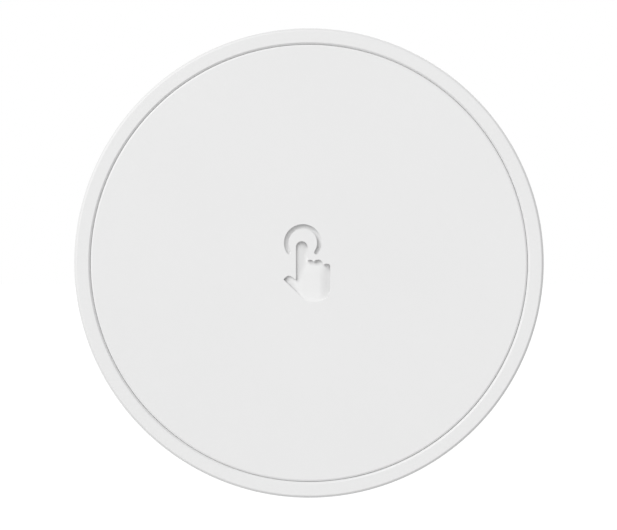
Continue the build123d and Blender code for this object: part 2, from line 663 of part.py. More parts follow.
def push_face():
    """The round end face: a disc with a post over the switch, stiffening ribs and hooks behind the ledge."""
    face = turned(
        (0, FACE_BACK),
        (FACE_RADIUS, FACE_BACK),
        (FACE_RADIUS, FACE_FRONT - FACE_EDGE_CHAMFER),
        (FACE_RADIUS - FACE_EDGE_CHAMFER, FACE_FRONT),
        (0, FACE_FRONT),
    )
    face += rod(POST_RADIUS, FACE_BACK - POST_HEIGHT, FACE_BACK)
    stem_radius = LEDGE_BORE - LOOSE
    rib_end = stem_radius - HOOK_STEM
    for i in range(FACE_RIB_COUNT):
        rib = block(rib_end, FACE_RIB_WIDTH, FACE_BACK - FACE_RIB_HEIGHT, FACE_BACK, rib_end / 2, 0)
        face += Rot(0, (i + 0.5) * 360 / FACE_RIB_COUNT, 0) * rib
    barb_front = LEDGE_START - SEATED
    for i in range(HOOK_COUNT):
        angle = 90 + i * 360 / HOOK_COUNT
        barb_back = barb_front - HOOK_BARB_HEIGHT
        face += wedge(stem_radius, stem_radius - HOOK_STEM, angle, HOOK_ARC, barb_back, FACE_BACK)
        barb = wedge(stem_radius + HOOK_BARB, stem_radius - HOOK_STEM, angle, HOOK_ARC, barb_back, barb_front)
        face += barb
    return face


# Motor


def motor_section(inset=0.0):
    """The motor's outline: a round can with two flats."""
    flats = Rectangle(2 * MOTOR_RADIUS, 2 * (MOTOR_FLAT - inset))
    return Circle(MOTOR_RADIUS - inset) & flats


def at_motor(sketch, start, end):
    return section(Pos(*axle_place(0)) * sketch, start, end)


def motor_can():
    can = at_motor(motor_section(), ROOM_PLATE_END, ROOM_PLATE_END + MOTOR_LENGTH)
    can += at_motor(Circle(MOTOR_BOSS_RADIUS), ROOM_PLATE_END - MOTOR_BOSS_LENGTH, ROOM_PLATE_END)
    bore_end = ROOM_PLATE_END + MOTOR_SHAFT_BORE_DEPTH
    return can - at_motor(Circle(MOTOR_SHAFT_RADIUS + RUNNING), ROOM_PLATE, bore_end)


def motor_shaft():
    start = LAYER_START[-1] - SEATED
    return at_motor(Circle(MOTOR_SHAFT_RADIUS), start, ROOM_PLATE_END + MOTOR_SHAFT_BORE_DEPTH - SEATED)


MOTOR_END = ROOM_PLATE_END + MOTOR_LENGTH
MOTOR_CAP_END = MOTOR_END + MOTOR_CAP_LENGTH


def motor_end_cap():
    return at_motor(motor_section(MOTOR_CAP_INSET), MOTOR_END, MOTOR_CAP_END)


def motor_terminals():
    tabs = []
    for side in (-1, 1):
        tab = Pos(side * TERMINAL_SPACING / 2, 0) * Rectangle(TERMINAL_THICKNESS, TERMINAL_WIDTH)
        tabs.append(at_motor(tab, MOTOR_CAP_END, MOTOR_CAP_END + TERMINAL_LENGTH).solid())
    return Compound(tabs)


# Where each lead runs from its terminal to the back of the board: (x, z) beside the motor's axis and the
# share of the way along
LEAD_ROUTE = (
    (TERMINAL_SPACING / 2, 0.0, 0.0),
    (TERMINAL_SPACING / 2, 0.0, 0.2),
    (2.9, 2.2, 0.48),
    (LEAD_OFFSET, LEAD_RISE, 0.78),
    (LEAD_OFFSET, LEAD_RISE, 1.0),
)


def motor_leads():
    """The two leads, each a run of straights and tangent arcs."""
    motor_x, motor_z = axle_place(0)
    start = MOTOR_CAP_END + TERMINAL_LENGTH
    leads = []
    for side in (-1, 1):
        points = [
            Vector(motor_x + side * x, -(start + share * (BOARD_BACK - start)), motor_z + z)
            for x, z, share in LEAD_ROUTE
        ]
        radii = []
        for before, here, after in zip(points, points[1:], points[2:]):
            half_turn = math.radians((here - before).get_angle(after - here)) / 2
            shorter = min((here - before).length, (after - here).length)
            radii.append(LEAD_ARC_SHARE * shorter / math.tan(half_turn))
        print("lead bends, in mm:", [round(radius, 1) for radius in radii])
        path = FilletPolyline(*points, radius=radii)
        lead = sweep(Plane(path @ 0, z_dir=path % 0) * RegularPolygon(LEAD_RADIUS, LEAD_SIDES), path)
        leads.append(lead.solid())
    return Compound(leads)


# Cells and contacts


def battery_cell(side):
    """An AA cell; the left one has its nub towards the room and the right one towards the valve."""
    flat_end = CELL_BAY + SPRING_HEIGHT
    nub_base = flat_end + CELL_LENGTH - CELL_NUB_HEIGHT
    cell = turned(
        (0, flat_end),
        (CELL_RADIUS - CELL_EDGE_CHAMFER, flat_end),
        (CELL_RADIUS, flat_end + CELL_EDGE_CHAMFER),
        (CELL_RADIUS, nub_base - CELL_EDGE_CHAMFER),
        (CELL_RADIUS - CELL_EDGE_CHAMFER, nub_base),
        (CELL_NUB_RADIUS, nub_base),
        (CELL_NUB_RADIUS, CELL_BAY_END),
        (0, CELL_BAY_END),
    )
    if side > 0:
        middle = Plane(origin=(0, -(CELL_BAY + CELL_BAY_END) / 2, 0), z_dir=(0, 1, 0))
        cell = mirror(cell, middle)
    return Pos(side * CELL_X, 0, 0) * cell


def leaf_spring():
    """A bowed strip that stands on its contact plate at depth 0 and touches the cell at its crown."""
    foot = SPRING_SPAN / 2
    top = SPRING_HEIGHT
    under = SPRING_HEIGHT - CONTACT_THICKNESS
    bow = [
        ThreePointArc((-foot, 0), (0, -top), (foot, 0)),
        Line((foot, 0), (foot - CONTACT_THICKNESS, 0)),
        ThreePointArc((foot - CONTACT_THICKNESS, 0), (0, -under), (CONTACT_THICKNESS - foot, 0)),
        Line((CONTACT_THICKNESS - foot, 0), (-foot, 0)),
    ]
    return extrude(make_face(bow), SPRING_WIDTH / 2, both=True)


def battery_springs():
    """One bowed leaf at the flat end of each cell, resting on its contact plate."""
    left = Pos(-CELL_X, -CELL_BAY, 0) * leaf_spring()
    right = Pos(CELL_X, -CELL_BAY_END, 0) * (Rot(180, 0, 0) * leaf_spring())
    return Compound([left.solid(), right.solid()])


def bridge_outline(grow=0.0):
    """Two pads joined by a strip that passes below the tower."""
    outline = Pos(0, -BRIDGE_DROP) * Rectangle(2 * CELL_X + BRIDGE_WIDTH + 2 * grow, BRIDGE_WIDTH + 2 * grow)
    for side in (-1, 1):
        pad = Rectangle(CONTACT_SIDE + 2 * grow, CONTACT_SIDE + 2 * grow)
        outline += Pos(side * CELL_X, 0) * pad
        outline += Pos(side * CELL_X, -BRIDGE_DROP / 2) * Rectangle(BRIDGE_WIDTH + 2 * grow, BRIDGE_DROP)
    return outline


def battery_bridge():
    """Joins the two cells in series at the valve end."""
    return section(bridge_outline(), FRAME_BASE_END, CELL_BAY)


def battery_terminals():
    """Two plates at the room end, each with a tail through the frame and the board."""
    plates = []
    for side in (-1, 1):
        plate = block(CONTACT_SIDE, CONTACT_SIDE, CELL_BAY_END, FRAME_FRONT, side * CELL_X, 0)
        tail_x = side * (CELL_X - CONTACT_SIDE / 2 + CONTACT_THICKNESS / 2)
        tail = block(CONTACT_THICKNESS, TAIL_WIDTH, CELL_BAY_END, BOARD_TOP + TAIL_STANDS_OUT, tail_x, 0)
        plates.append((plate + tail).solid())
    return Compound(plates)


def tail_slots(start, end):
    """Cuts for the terminals' tails."""
    tail_x = CELL_X - CONTACT_SIDE / 2 + CONTACT_THICKNESS / 2
    width = CONTACT_THICKNESS + 2 * LOOSE
    height = TAIL_WIDTH + 2 * LOOSE
    return [block(width, height, start, end, side * tail_x, 0) for side in (-1, 1)]


# Core frame


def board_screw_places():
    return [on_ring(BOARD_SCREW_RING, angle) for angle in BOARD_SCREW_ANGLES]


def core_frame():
    """The moulding that cradles the cells and the motor and carries the board."""
    motor_x, motor_z = axle_place(0)
    frame = rod(PLATE_RADIUS, ROOM_PLATE_END, FRAME_BASE_END)
    frame += rod(FRAME_RADIUS, FRAME_FRONT, FRAME_FRONT_END)
    trough_bore = CELL_RADIUS + LOOSE
    trough_radius = trough_bore + TROUGH_WALL
    for side in (-1, 1):
        facing = 90 - side * 90 + 180
        trough = wedge(
            trough_radius, trough_bore, facing, 360 - TROUGH_OPEN_ANGLE, ROOM_PLATE_END, FRAME_FRONT_END
        )
        frame += Pos(side * CELL_X, 0, 0) * trough
    bay_rods = [rod(trough_bore, FRAME_BASE_END, FRAME_FRONT, side * CELL_X, 0) for side in (-1, 1)]
    for place in WEB_PLACES:
        depth = CELL_BAY + CELL_LENGTH * place
        web = block(2 * (CELL_X - trough_bore), 2 * MOTOR_FLAT, depth, depth + WEB_THICKNESS)
        frame += web - rod(SPINDLE_RADIUS, depth, depth + WEB_THICKNESS) - bay_rods
    saddle_top = motor_z + MOTOR_FLAT / 2
    saddle_reach = CELL_X - trough_bore / 2
    for place in SADDLE_PLACES:
        depth = ROOM_PLATE_END + MOTOR_LENGTH * place
        saddle = block(2 * saddle_reach, saddle_top, depth, depth + WEB_THICKNESS, 0, saddle_top / 2)
        frame += saddle - bay_rods
    for x, z in board_screw_places():
        frame += rod(BOSS_RADIUS, FRAME_FRONT - BOARD_SCREW_LENGTH + FRAME_WALL, BOARD_BACK, x, z)
    frame -= at_motor(offset(motor_section(), SEATED), ROOM_PLATE_END, FRAME_FRONT)
    frame -= rod(TOWER_RADIUS + LOOSE, ROOM_PLATE_END, SPINDLE_WING_START + WING_LENGTH + 2 * LOOSE)
    frame -= section(bridge_outline(LOOSE), FRAME_BASE_END, CELL_BAY + LOOSE)
    for side in (-1, 1):
        plate_side = CONTACT_SIDE + 2 * LOOSE
        frame -= block(plate_side, plate_side, CELL_BAY_END - LOOSE, FRAME_FRONT, side * CELL_X, 0)
    frame -= tail_slots(FRAME_FRONT, FRAME_FRONT_END)
    frame -= rod(LEAD_HOLE, FRAME_FRONT, FRAME_FRONT_END, motor_x, motor_z + LEAD_RISE)
    for x, z in pillar_places():
        frame -= rod(SCREW_RADIUS + LOOSE, ROOM_PLATE_END, FRAME_BASE_END, x, z)
        frame -= rod(SCREW_HEAD_RADIUS + LOOSE, FRAME_BASE_END, FRAME_BASE_END + 2 * SCREW_HEAD_HEIGHT, x, z)
    for x, z in board_screw_places():
        start = FRAME_FRONT_END - BOARD_SCREW_LENGTH + BOARD_THICKNESS
        frame -= rod(BOARD_SCREW_RADIUS + PIN_FIT, start, BOARD_BACK, x, z)
    return frame


# Circuit board


def circuit_board():
    board = rod(BOARD_RADIUS, BOARD_BACK, BOARD_TOP)
    for x, z in board_screw_places():
        board -= rod(BOARD_SCREW_RADIUS + LOOSE, BOARD_BACK, BOARD_TOP, x, z)
    return board - tail_slots(BOARD_BACK, BOARD_TOP)


def board_screws():
    screws = []
    for x, z in board_screw_places():
        tip = FRAME_FRONT_END - BOARD_SCREW_LENGTH + BOARD_THICKNESS
        screw = rod(BOARD_SCREW_RADIUS, tip, BOARD_TOP, x, z)
        screw += rod(BOARD_SCREW_HEAD_RADIUS, BOARD_TOP, BOARD_TOP + BOARD_SCREW_HEAD_HEIGHT, x, z)
        screws.append(screw.solid())
    return Compound(screws)


def on_board(width, height, tall, x, z, lift=0.0):
    """A component with softened upper edges, standing on the board."""
    start = BOARD_TOP + lift
    part = block(width, height, start, start + tall, x, z)
    return chamfer(part.faces().sort_by(Axis.Y)[0].edges(), min(CHIP_CHAMFER, tall / 4))


def switch_base():
    return block(SWITCH_SIDE, SWITCH_SIDE, BOARD_TOP, BOARD_TOP + SWITCH_BASE_HEIGHT)


def switch_cover():
    start = BOARD_TOP + SWITCH_BASE_HEIGHT
    cover = on_board(SWITCH_SIDE, SWITCH_SIDE, SWITCH_COVER_HEIGHT, 0, 0, SWITCH_BASE_HEIGHT)
    return cover - rod(SWITCH_STEM_RADIUS + RUNNING, start, SWITCH_TOP)


def switch_stem():
    start = BOARD_TOP + SWITCH_BASE_HEIGHT + FACE_TRAVEL + SEATED
    return rod(SWITCH_STEM_RADIUS, start, STEM_TOP)


# Flat components: width, height, how tall, and the place of the middle (x, z)
RADIO_BOARD = (10.5, 11.5, 0.8, -9.2, -7.8)
RADIO_SHIELD = (8.6, 8.0, 1.3, -9.2, -6.4)
PROCESSOR = (5.0, 5.0, 0.9, 7.5, 7.6)
CRYSTAL = (3.2, 1.5, 0.8, 1.6, 7.4)
MOTOR_DRIVER = (3.9, 4.9, 1.2, 13.6, 5.6)
BOOST_COIL = (4.0, 4.0, 1.8, -8.0, 8.0)
SUPPLY_CAPACITOR = (7.3, 4.3, 1.9, 11.5, -6.0)
STATUS_LED = (3.0, 1.6, 0.8)
STATUS_LED_RING = 12.5
STATUS_LED_ANGLES = (90.0, 270.0)
TEMPERATURE_SENSOR = (1.6, 3.2, 0.9, 8.5, -15.0)


def status_leds():
    width, height, tall = STATUS_LED
    places = [on_ring(STATUS_LED_RING, angle) for angle in STATUS_LED_ANGLES]
    return Compound([on_board(width, height, tall, x, z).solid() for x, z in places])


def radio_shield():
    width, height, tall, x, z = RADIO_SHIELD
    return on_board(width, height, tall, x, z, lift=RADIO_BOARD[2])


PARTS = {
    "outer_sleeve": outer_sleeve,
    "push_face": push_face,
    "face_return_ring": face_return_ring,
    "union_nut": union_nut,
    "neck_collar": neck_collar,
    "rear_shell": rear_shell,
    "gearbox_valve_plate": gearbox_valve_plate,
    "gearbox_room_plate": gearbox_room_plate,
    "gearbox_screws": gearbox_screws,
    "gear_axles": gear_axles,
    "motor_pinion": motor_pinion,
    "reduction_gear_1": lambda: compound_gear(1),
    "reduction_gear_2": lambda: compound_gear(2),
    "reduction_gear_3": lambda: compound_gear(3),
    "output_gear": output_gear,
    "thrust_washer": thrust_washer,
    "spindle": spindle,
    "spindle_tip": spindle_tip,
    "motor_can": motor_can,
    "motor_shaft": motor_shaft,
    "motor_end_cap": motor_end_cap,
    "motor_terminals": motor_terminals,
    "motor_leads": motor_leads,
    "core_frame": core_frame,
    "battery_cell_left": lambda: battery_cell(-1),
    "battery_cell_right": lambda: battery_cell(1),
    "battery_springs": battery_springs,
    "battery_bridge": battery_bridge,
    "battery_terminals": battery_terminals,
    "circuit_board": circuit_board,
    "board_screws": board_screws,
    "switch_base": switch_base,
    "switch_cover": switch_cover,
    "switch_stem": switch_stem,
    "radio_board": lambda: on_board(*RADIO_BOARD),
    "radio_shield": radio_shield,
    "processor": lambda: on_board(*PROCESSOR),
    "motor_driver": lambda: on_board(*MOTOR_DRIVER),
    "boost_coil": lambda: on_board(*BOOST_COIL),
    "supply_capacitor": lambda: on_board(*SUPPLY_CAPACITOR),
    "crystal": lambda: on_board(*CRYSTAL),
    "status_leds": status_leds,
    "temperature_sensor": lambda: on_board(*TEMPERATURE_SENSOR),
}


def main():
    os.makedirs("parts", exist_ok=True)
    for name, make in PARTS.items():
        export_step(make(), f"parts/{name}.step")


main()
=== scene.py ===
"""Visual pieces of a round radiator thermostat whose whole end face is a push button.

The file is laid out as an add-on: each operator models one piece, or a group of like pieces, around the fixed
frame. Pieces are modelled in millimetres and scaled to metres when they are finished. The axis runs along Y, a
depth is the distance from the inner end of the nut's thread towards the room (-Y), and +Z is up.
"""

import math
from contextlib import contextmanager

import bmesh
import bpy
from bpy.props import FloatProperty, FloatVectorProperty, IntProperty, PointerProperty
from mathutils import Matrix, Vector


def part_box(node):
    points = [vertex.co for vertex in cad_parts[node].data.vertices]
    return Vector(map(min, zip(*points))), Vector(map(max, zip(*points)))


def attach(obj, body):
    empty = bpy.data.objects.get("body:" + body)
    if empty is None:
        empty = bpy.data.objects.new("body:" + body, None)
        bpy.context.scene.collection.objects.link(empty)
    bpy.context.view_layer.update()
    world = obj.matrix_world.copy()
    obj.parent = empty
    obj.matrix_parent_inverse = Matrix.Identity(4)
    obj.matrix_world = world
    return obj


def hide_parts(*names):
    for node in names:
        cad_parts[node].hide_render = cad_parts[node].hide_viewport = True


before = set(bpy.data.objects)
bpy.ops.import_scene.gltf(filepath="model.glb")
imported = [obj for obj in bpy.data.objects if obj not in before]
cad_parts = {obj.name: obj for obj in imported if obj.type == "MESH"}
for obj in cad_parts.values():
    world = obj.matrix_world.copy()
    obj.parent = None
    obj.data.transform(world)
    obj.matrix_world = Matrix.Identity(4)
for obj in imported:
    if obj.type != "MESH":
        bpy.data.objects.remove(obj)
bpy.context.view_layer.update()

bl_info = {
    "name": "Push-face radiator thermostat",
    "version": (1, 0, 0),
    "blender": (4, 5, 0),
    "location": "3D View > Sidebar > Thermostat",
    "description": "Models the visible pieces of a round radiator thermostat around its fixed frame",
    "category": "Object",
}

MM = 1000.0  # millimetres in a metre

# The photograph's frame, in pixels, and where the disc lies in it
PHOTO_WIDTH = 617
PHOTO_HEIGHT = 530
DISC_MIDDLE = (309.0, 263.0)
DISC_RADIUS = 235.0


def corner_span(node_name):
    """The lowest and highest corner of a CAD node, in millimetres."""
    low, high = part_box(node_name)
    return low * MM, high * MM


def depths(node_name):
    """How far a CAD node reaches along the axis, as (nearest the valve, nearest the room)."""
    low, high = corner_span(node_name)
    return -high.y, -low.y


def seat(node_name):
    """Where a CAD node sits, as (x, z, depth nearest the valve, depth nearest the room)."""
    low, high = corner_span(node_name)
    return (low.x + high.x) / 2, (low.z + high.z) / 2, -high.y, -low.y


def half_width(node_name):
    low, high = corner_span(node_name)
    return (high.x - low.x) / 2


# Sizes that the frame gives
BODY_RADIUS = half_width("outer_sleeve")
SLEEVE_BACK, FACE_FRONT = depths("outer_sleeve")
LEDGE_END, FACE_BACK = depths("face_return_ring")
NOSE_DEPTH, SPIGOT_END = depths("rear_shell")
NUT_MOUTH, NUT_BACK = depths("union_nut")
NUT_RADIUS = corner_span("union_nut")[1].x
BOARD_TOP = depths("circuit_board")[1]

# Sizes that the frame's boxes don't give, in millimetres
SLEEVE_BORE = 24.22
RIM_SLOPE = 0.25
GROOVE_SLOPE = 0.2
GROOVE_DEPTH = 0.22
FACE_LIP = 24.17
FACE_EDGE_DROP = 0.11
LEDGE_BORE = 22.02
LEDGE_START = LEDGE_END - 1.0
SPIGOT_RADIUS = 24.10
SPIGOT_BORE = 22.6
SHELL_RIM = 17.3
SHELL_WALL = 2.2
SHOULDER_ROUND = 9.8
BOSS_RADIUS = 2.3
BOSS_BORE = 1.02
KEY_WIDTH = 2.0
POST_RADIUS = 2.6  # of the post that meets the switch
COLLAR_HOLE = 12.45
THREAD_CREST = 14.19
THREAD_ROOT = 15.0
VALVE_PITCH = 1.5
SPINDLE_PITCH = 1.5
NUT_SHOULDER = 2.4
CELL_X = 16.12
CELL_RADIUS = 7.25
MOTOR_Z = 13.5
TAB_X = 4.2  # the motor's soldered tabs, either side of the middle
LEAD_HOLE = (1.3, 17.4)
CELL_TAIL_X = 11.27  # the cells' plates, soldered through the board
PILLARS = ((-11.777, 13.079), (-11.777, -13.079), (3.056, -17.333))
BOARD_SCREWS = ((8.3, 14.376), (-8.3, 14.376), (0.0, -16.6))
THIRDS = (90, 210, 330)  # degrees, for what stands three times round the axis
PRINT = 0.02  # thickness of print and bare pads
ROUND_STEPS = 192  # segments of what is turned about the axis
NEAR = 0.01  # what lies closer than this counts as the same place


def linear(hex_colour):
    """An sRGB hex colour as linear red, green and blue."""
    values = [int(hex_colour[i:i + 2], 16) / 255 for i in (1, 3, 5)]
    return tuple(v / 12.92 if v <= 0.04045 else ((v + 0.055) / 1.055) ** 2.4 for v in values)


# Settings that a user would change


def length(name, description, default):
    """A setting in metres."""
    return FloatProperty(name=name, description=description, default=default, unit="LENGTH")


class FaceSettings(bpy.types.PropertyGroup):
    """The pushed face and its sign."""

    colour: FloatVectorProperty(
        name="Face colour", description="Colour of the pushed face", subtype="COLOR", default=linear("#E2E2E2"))
    edge_slope: length("Edge slope", "Width of the face's slope into the groove", 0.00018)
    sign_depth: length("Sign depth", "How deep the sign is sunk", 0.0006)
    sign_edge: length("Sign edge", "Rounding of the sign's edges", 0.00002)


class ShellSettings(bpy.types.PropertyGroup):
    """The sleeve and the shell behind it."""

    colour: FloatVectorProperty(
        name="Shell colour", description="Colour of sleeve and shell", subtype="COLOR", default=linear("#E2E2E2"))
    grain: length("Texture grain", "Size of the mould's fine texture", 0.00016)


class NutSettings(bpy.types.PropertyGroup):
    """The union nut."""

    flutes: IntProperty(name="Flutes", description="Grip flutes round the nut", default=20, min=6)
    flute_radius: length("Flute radius", "Radius of each grip flute", 0.0016)
    flute_depth: length("Flute depth", "How deep each flute cuts in", 0.0007)


class StageSettings(bpy.types.PropertyGroup):
    """Camera, lamps and floor."""

    lens: FloatProperty(name="Lens", description="Focal length in millimetres", default=135.0, unit="CAMERA")
    key: FloatProperty(name="Key lamp", description="Strength of the lamp at the upper left", default=2.3)
    back: FloatProperty(name="Back lamp", description="Strength of the lamp behind the part", default=1.25)
    surround: FloatProperty(name="Surround", description="Strength of the light from all round", default=0.38)
    floor_drop: length("Floor drop", "How far the floor lies below the axis", 0.055)


# Modelling in millimetres


def pick(*objects):
    """Makes these the only selected objects, with the first one active."""
    bpy.ops.object.select_all(action="DESELECT")
    for item in objects:
        item.select_set(True)
    bpy.context.view_layer.objects.active = objects[0]


@contextmanager
def editing(piece, kind="EDGE", everything=False):
    """Edit mode on one piece, with nothing or everything selected at first."""
    pick(piece)
    bpy.ops.object.mode_set(mode="EDIT")
    bpy.ops.mesh.select_mode(type=kind)
    bpy.ops.mesh.select_all(action="SELECT" if everything else "DESELECT")
    yield bmesh.from_edit_mesh(piece.data)
    bpy.ops.object.mode_set(mode="OBJECT")


def face_outwards():
    """Turns all faces outwards, in edit mode."""
    bpy.ops.mesh.select_all(action="SELECT")
    bpy.ops.mesh.normals_make_consistent(inside=False)


def choose(piece, parts, test):
    """Selects the vertices, edges or faces that pass a test, in edit mode."""
    for part in parts:
        if test(part):
            part.select_set(True)
    bmesh.update_edit_mesh(piece.data)


def settle(piece):
    """Puts the piece's place, turn and scale into its mesh."""
    pick(piece)
    bpy.ops.object.transform_apply(location=True, rotation=True, scale=True)
    return piece


def rod(radius, start, end, x=0.0, z=0.0, sides=48):
    """A cylinder along the axis between two depths."""
    bpy.ops.mesh.primitive_cylinder_add(
        vertices=sides,
        radius=radius,
        depth=end - start,
        location=(x, -(start + end) / 2, z),
        rotation=(math.pi / 2, 0, 0),
    )
    return settle(bpy.context.object)


def block(width, height, start, end, x=0.0, z=0.0):
    """A straight bar along the axis between two depths."""
    bpy.ops.mesh.primitive_cube_add(size=1, location=(x, -(start + end) / 2, z))
    piece = bpy.context.object
    piece.scale = (width, end - start, height)
    return settle(piece)


def flat_outline(corners, fillet_steps=4):
    """A flat face in the X-Z plane from corners (x, z, rounding), each rounded by its own radius."""
    bpy.ops.mesh.primitive_circle_add(vertices=len(corners), radius=1, fill_type="NGON")
    piece = bpy.context.object
    for vertex, corner in zip(piece.data.vertices, corners):
        vertex.co = (corner[0], 0, corner[1])
    rounded = [corner for corner in corners if len(corner) > 2 and corner[2]]
    for rounding in sorted({corner[2] for corner in rounded}):
        spots = [Vector((corner[0], 0, corner[1])) for corner in rounded if corner[2] == rounding]
        with editing(piece, "VERT") as mesh:
            choose(piece, mesh.verts, lambda v: any((v.co - spot).length < 1e-4 for spot in spots))
            bpy.ops.mesh.bevel(offset=rounding, segments=fillet_steps, affect="VERTICES", clamp_overlap=True)
    return piece


def plate(corners, start, end):
    """A flat outline given thickness between two depths."""
    piece = flat_outline(corners)
    piece.data.transform(Matrix.Translation((0, -start, 0)))
    with editing(piece, "FACE", everything=True):
        bpy.ops.mesh.extrude_region_move(TRANSFORM_OT_translate={"value": (0, start - end, 0)})
        face_outwards()
    return piece


def arc_points(radius, first, last, steps, x=0.0, z=0.0):
    """Points on an arc between two angles in degrees, from +X towards +Z."""
    angles = [math.radians(first + (last - first) * i / steps) for i in range(steps + 1)]
    return [(x + radius * math.cos(a), z + radius * math.sin(a)) for a in angles]


def wedge(outer, inner, angle, spread, start, end, steps=12):
    """The part of a ring within half the spread either side of an angle, all in degrees."""
    first, last = angle - spread / 2, angle + spread / 2
    outline = arc_points(outer, first, last, steps) + arc_points(inner, last, first, steps)
    return plate(outline, start, end)


def profile_edges(corners, fillet_steps=4):
    """The edges of a closed profile (radius, depth, rounding), standing beside the axis."""
    piece = flat_outline([(corner[0], -corner[1], *corner[2:]) for corner in corners], fillet_steps)
    for vertex in piece.data.vertices:
        vertex.co = (vertex.co.x, vertex.co.z, 0)
    with editing(piece, "FACE", everything=True):
        bpy.ops.mesh.delete(type="ONLY_FACE")
    return piece


def lathe(corners, steps=ROUND_STEPS, fillet_steps=4, x=0.0, z=0.0):
    """A solid turned about the axis, or a line beside it, from corners (radius, depth, rounding)."""
    piece = profile_edges(corners, fillet_steps)
    with editing(piece, "EDGE", everything=True):
        bpy.ops.mesh.spin(steps=steps, angle=math.tau, center=(0, 0, 0), axis=(0, 1, 0), use_auto_merge=False)
    tidy(piece, gap=2e-3)
    with editing(piece, "VERT", everything=True):
        bpy.ops.mesh.delete_loose(use_verts=True, use_edges=True, use_faces=False)
    piece.data.transform(Matrix.Translation((x, 0, z)))
    return piece


def tube(outer, inner, start, end, steps, x=0.0, z=0.0):
    """A plain ring between two depths."""
    return lathe(((outer, start), (outer, end), (inner, end), (inner, start)), steps=steps, x=x, z=z)


def screw_ridge(root, crest, pitch, start, end, steps=72):
    """The ridge of a screw thread between two depths, closed at both ends."""
    crest_half = pitch / 8
    root_half = min(pitch * 0.46, crest_half + abs(root - crest) * math.tan(math.radians(30)))
    turns = (end - start - 2 * root_half) / pitch
    first = end - root_half
    piece = profile_edges((
        (root, first + root_half), (crest, first + crest_half),
        (crest, first - crest_half), (root, first - root_half),
    ))
    modify(
        piece,
        "SCREW",
        axis="Y",
        angle=math.tau * turns,
        screw_offset=pitch * turns,
        steps=round(steps * turns),
        render_steps=round(steps * turns),
        use_merge_vertices=False,
    )
    with editing(piece, "EDGE", everything=True):
        bpy.ops.mesh.fill_holes(sides=0)
        face_outwards()
    return piece


def wire(name, runs, radius, sides=1, smooth=False):
    """Round wire along runs of points (x, depth, z), straight or smooth between them, with closed ends."""
    path = bpy.data.curves.new(name, "CURVE")
    path.dimensions = "3D"
    path.bevel_depth = radius
    path.bevel_resolution = sides
    path.resolution_u = 10
    path.use_fill_caps = True
    for points in runs:
        spline = path.splines.new("NURBS" if smooth else "POLY")
        spline.points.add(len(points) - 1)
        for point, (x, depth, z) in zip(spline.points, points):
            point.co = (x, -depth, z, 1)
        if smooth:
            spline.order_u = 3
            spline.use_endpoint_u = True
    piece = bpy.data.objects.new(name, path)
    bpy.context.collection.objects.link(piece)
    pick(piece)
    bpy.ops.object.convert(target="MESH")
    return bpy.context.object


def pressed(piece, share, depth):
    """Flattens wire that lies at depth 0 and sets it on a surface."""
    piece.data.transform(Matrix.Translation((0, -depth, 0)) @ Matrix.Diagonal((1, share, 1, 1)))
    return tidy(piece)


def tidy(piece, gap=1e-4):
    """Merges doubled points, drops what has no area and turns the faces outwards."""
    with editing(piece, "VERT", everything=True):
        bpy.ops.mesh.remove_doubles(threshold=gap)
        bpy.ops.mesh.dissolve_degenerate(threshold=gap)
        face_outwards()
    return piece


def modify(piece, kind, **settings):
    """Adds a modifier with these settings and applies it."""
    pick(piece)
    modifier = piece.modifiers.new(kind.title(), kind)
    for name, value in settings.items():
        setattr(modifier, name, value)
    bpy.ops.object.modifier_apply(modifier=modifier.name)
    return piece


def cut(piece, *tools, operation="DIFFERENCE"):
    """Takes the tools away from the piece, and deletes them."""
    for tool in tools:
        modify(piece, "BOOLEAN", operation=operation, object=tool, solver="EXACT")
        bpy.data.objects.remove(tool)
    return piece


def fuse(piece, *others):
    """Makes one solid of pieces that overlap, and deletes the others."""
    return cut(piece, *others, operation="UNION")


def join(*pieces):
    """One object from several that don't overlap."""
    pick(*pieces)
    bpy.ops.object.join()
    return pieces[0]


def copy(piece, matrix):
    """A copy with its own mesh, moved by a matrix."""
    twin = piece.copy()
    twin.data = piece.data.copy()
    bpy.context.collection.objects.link(twin)
    twin.data.transform(matrix)
    return twin


def copies(piece, *matrices):
    """The piece once at each place, as one object."""
    made = [copy(piece, matrix) for matrix in matrices]
    bpy.data.objects.remove(piece)
    return join(*made)


def axis_turn(degrees):
    """A turn about the axis, from +X towards +Z."""
    return Matrix.Rotation(-math.radians(degrees), 4, "Y")


def place_at(x, z, degrees=0.0):
    """Turned about its own middle and set down at (x, z)."""
    return Matrix.Translation((x, 0, z)) @ axis_turn(degrees)


def turned_copies(piece, count):
    """The piece repeated evenly round the axis, as one object."""
    turns = [Matrix.Rotation(i * math.tau / count, 4, "Y") for i in range(count)]
    return join(piece, *[copy(piece, turn) for turn in turns[1:]])


def soften(piece, width, angle=30.0, segments=2):
    """Rounds every edge sharper than an angle."""
    return modify(
        piece,
        "BEVEL",
        width=width,
        segments=segments,
        limit_method="ANGLE",
        angle_limit=math.radians(angle),
        use_clamp_overlap=True,
    )


def bevel_chosen(piece, test, width, segments=2):
    """Rounds the edges that pass a test."""
    with editing(piece, "EDGE") as mesh:
        choose(piece, mesh.edges, test)
        bpy.ops.mesh.bevel(offset=width, segments=segments, affect="EDGES", clamp_overlap=True)
    return piece


def in_front_of(depth):
    """A test for edges that lie nearer the room than a depth."""
    return lambda edge: all(vertex.co.y < -depth for vertex in edge.verts)


def longer_in_depth(least):
    """A test for edges that reach further along the axis than this."""
    return lambda edge: abs(edge.verts[0].co.y - edge.verts[1].co.y) > least


def pair(width, height, start, end, x, z, rounding, across=0.0, up=0.0, segments=2):
    """Two like bars either side of a place, with softened edges, as one object."""
    return join(*[
        soften(block(width, height, start, end, x + side * across, z + side * up), rounding, segments=segments)
        for side in (-1, 1)
    ])


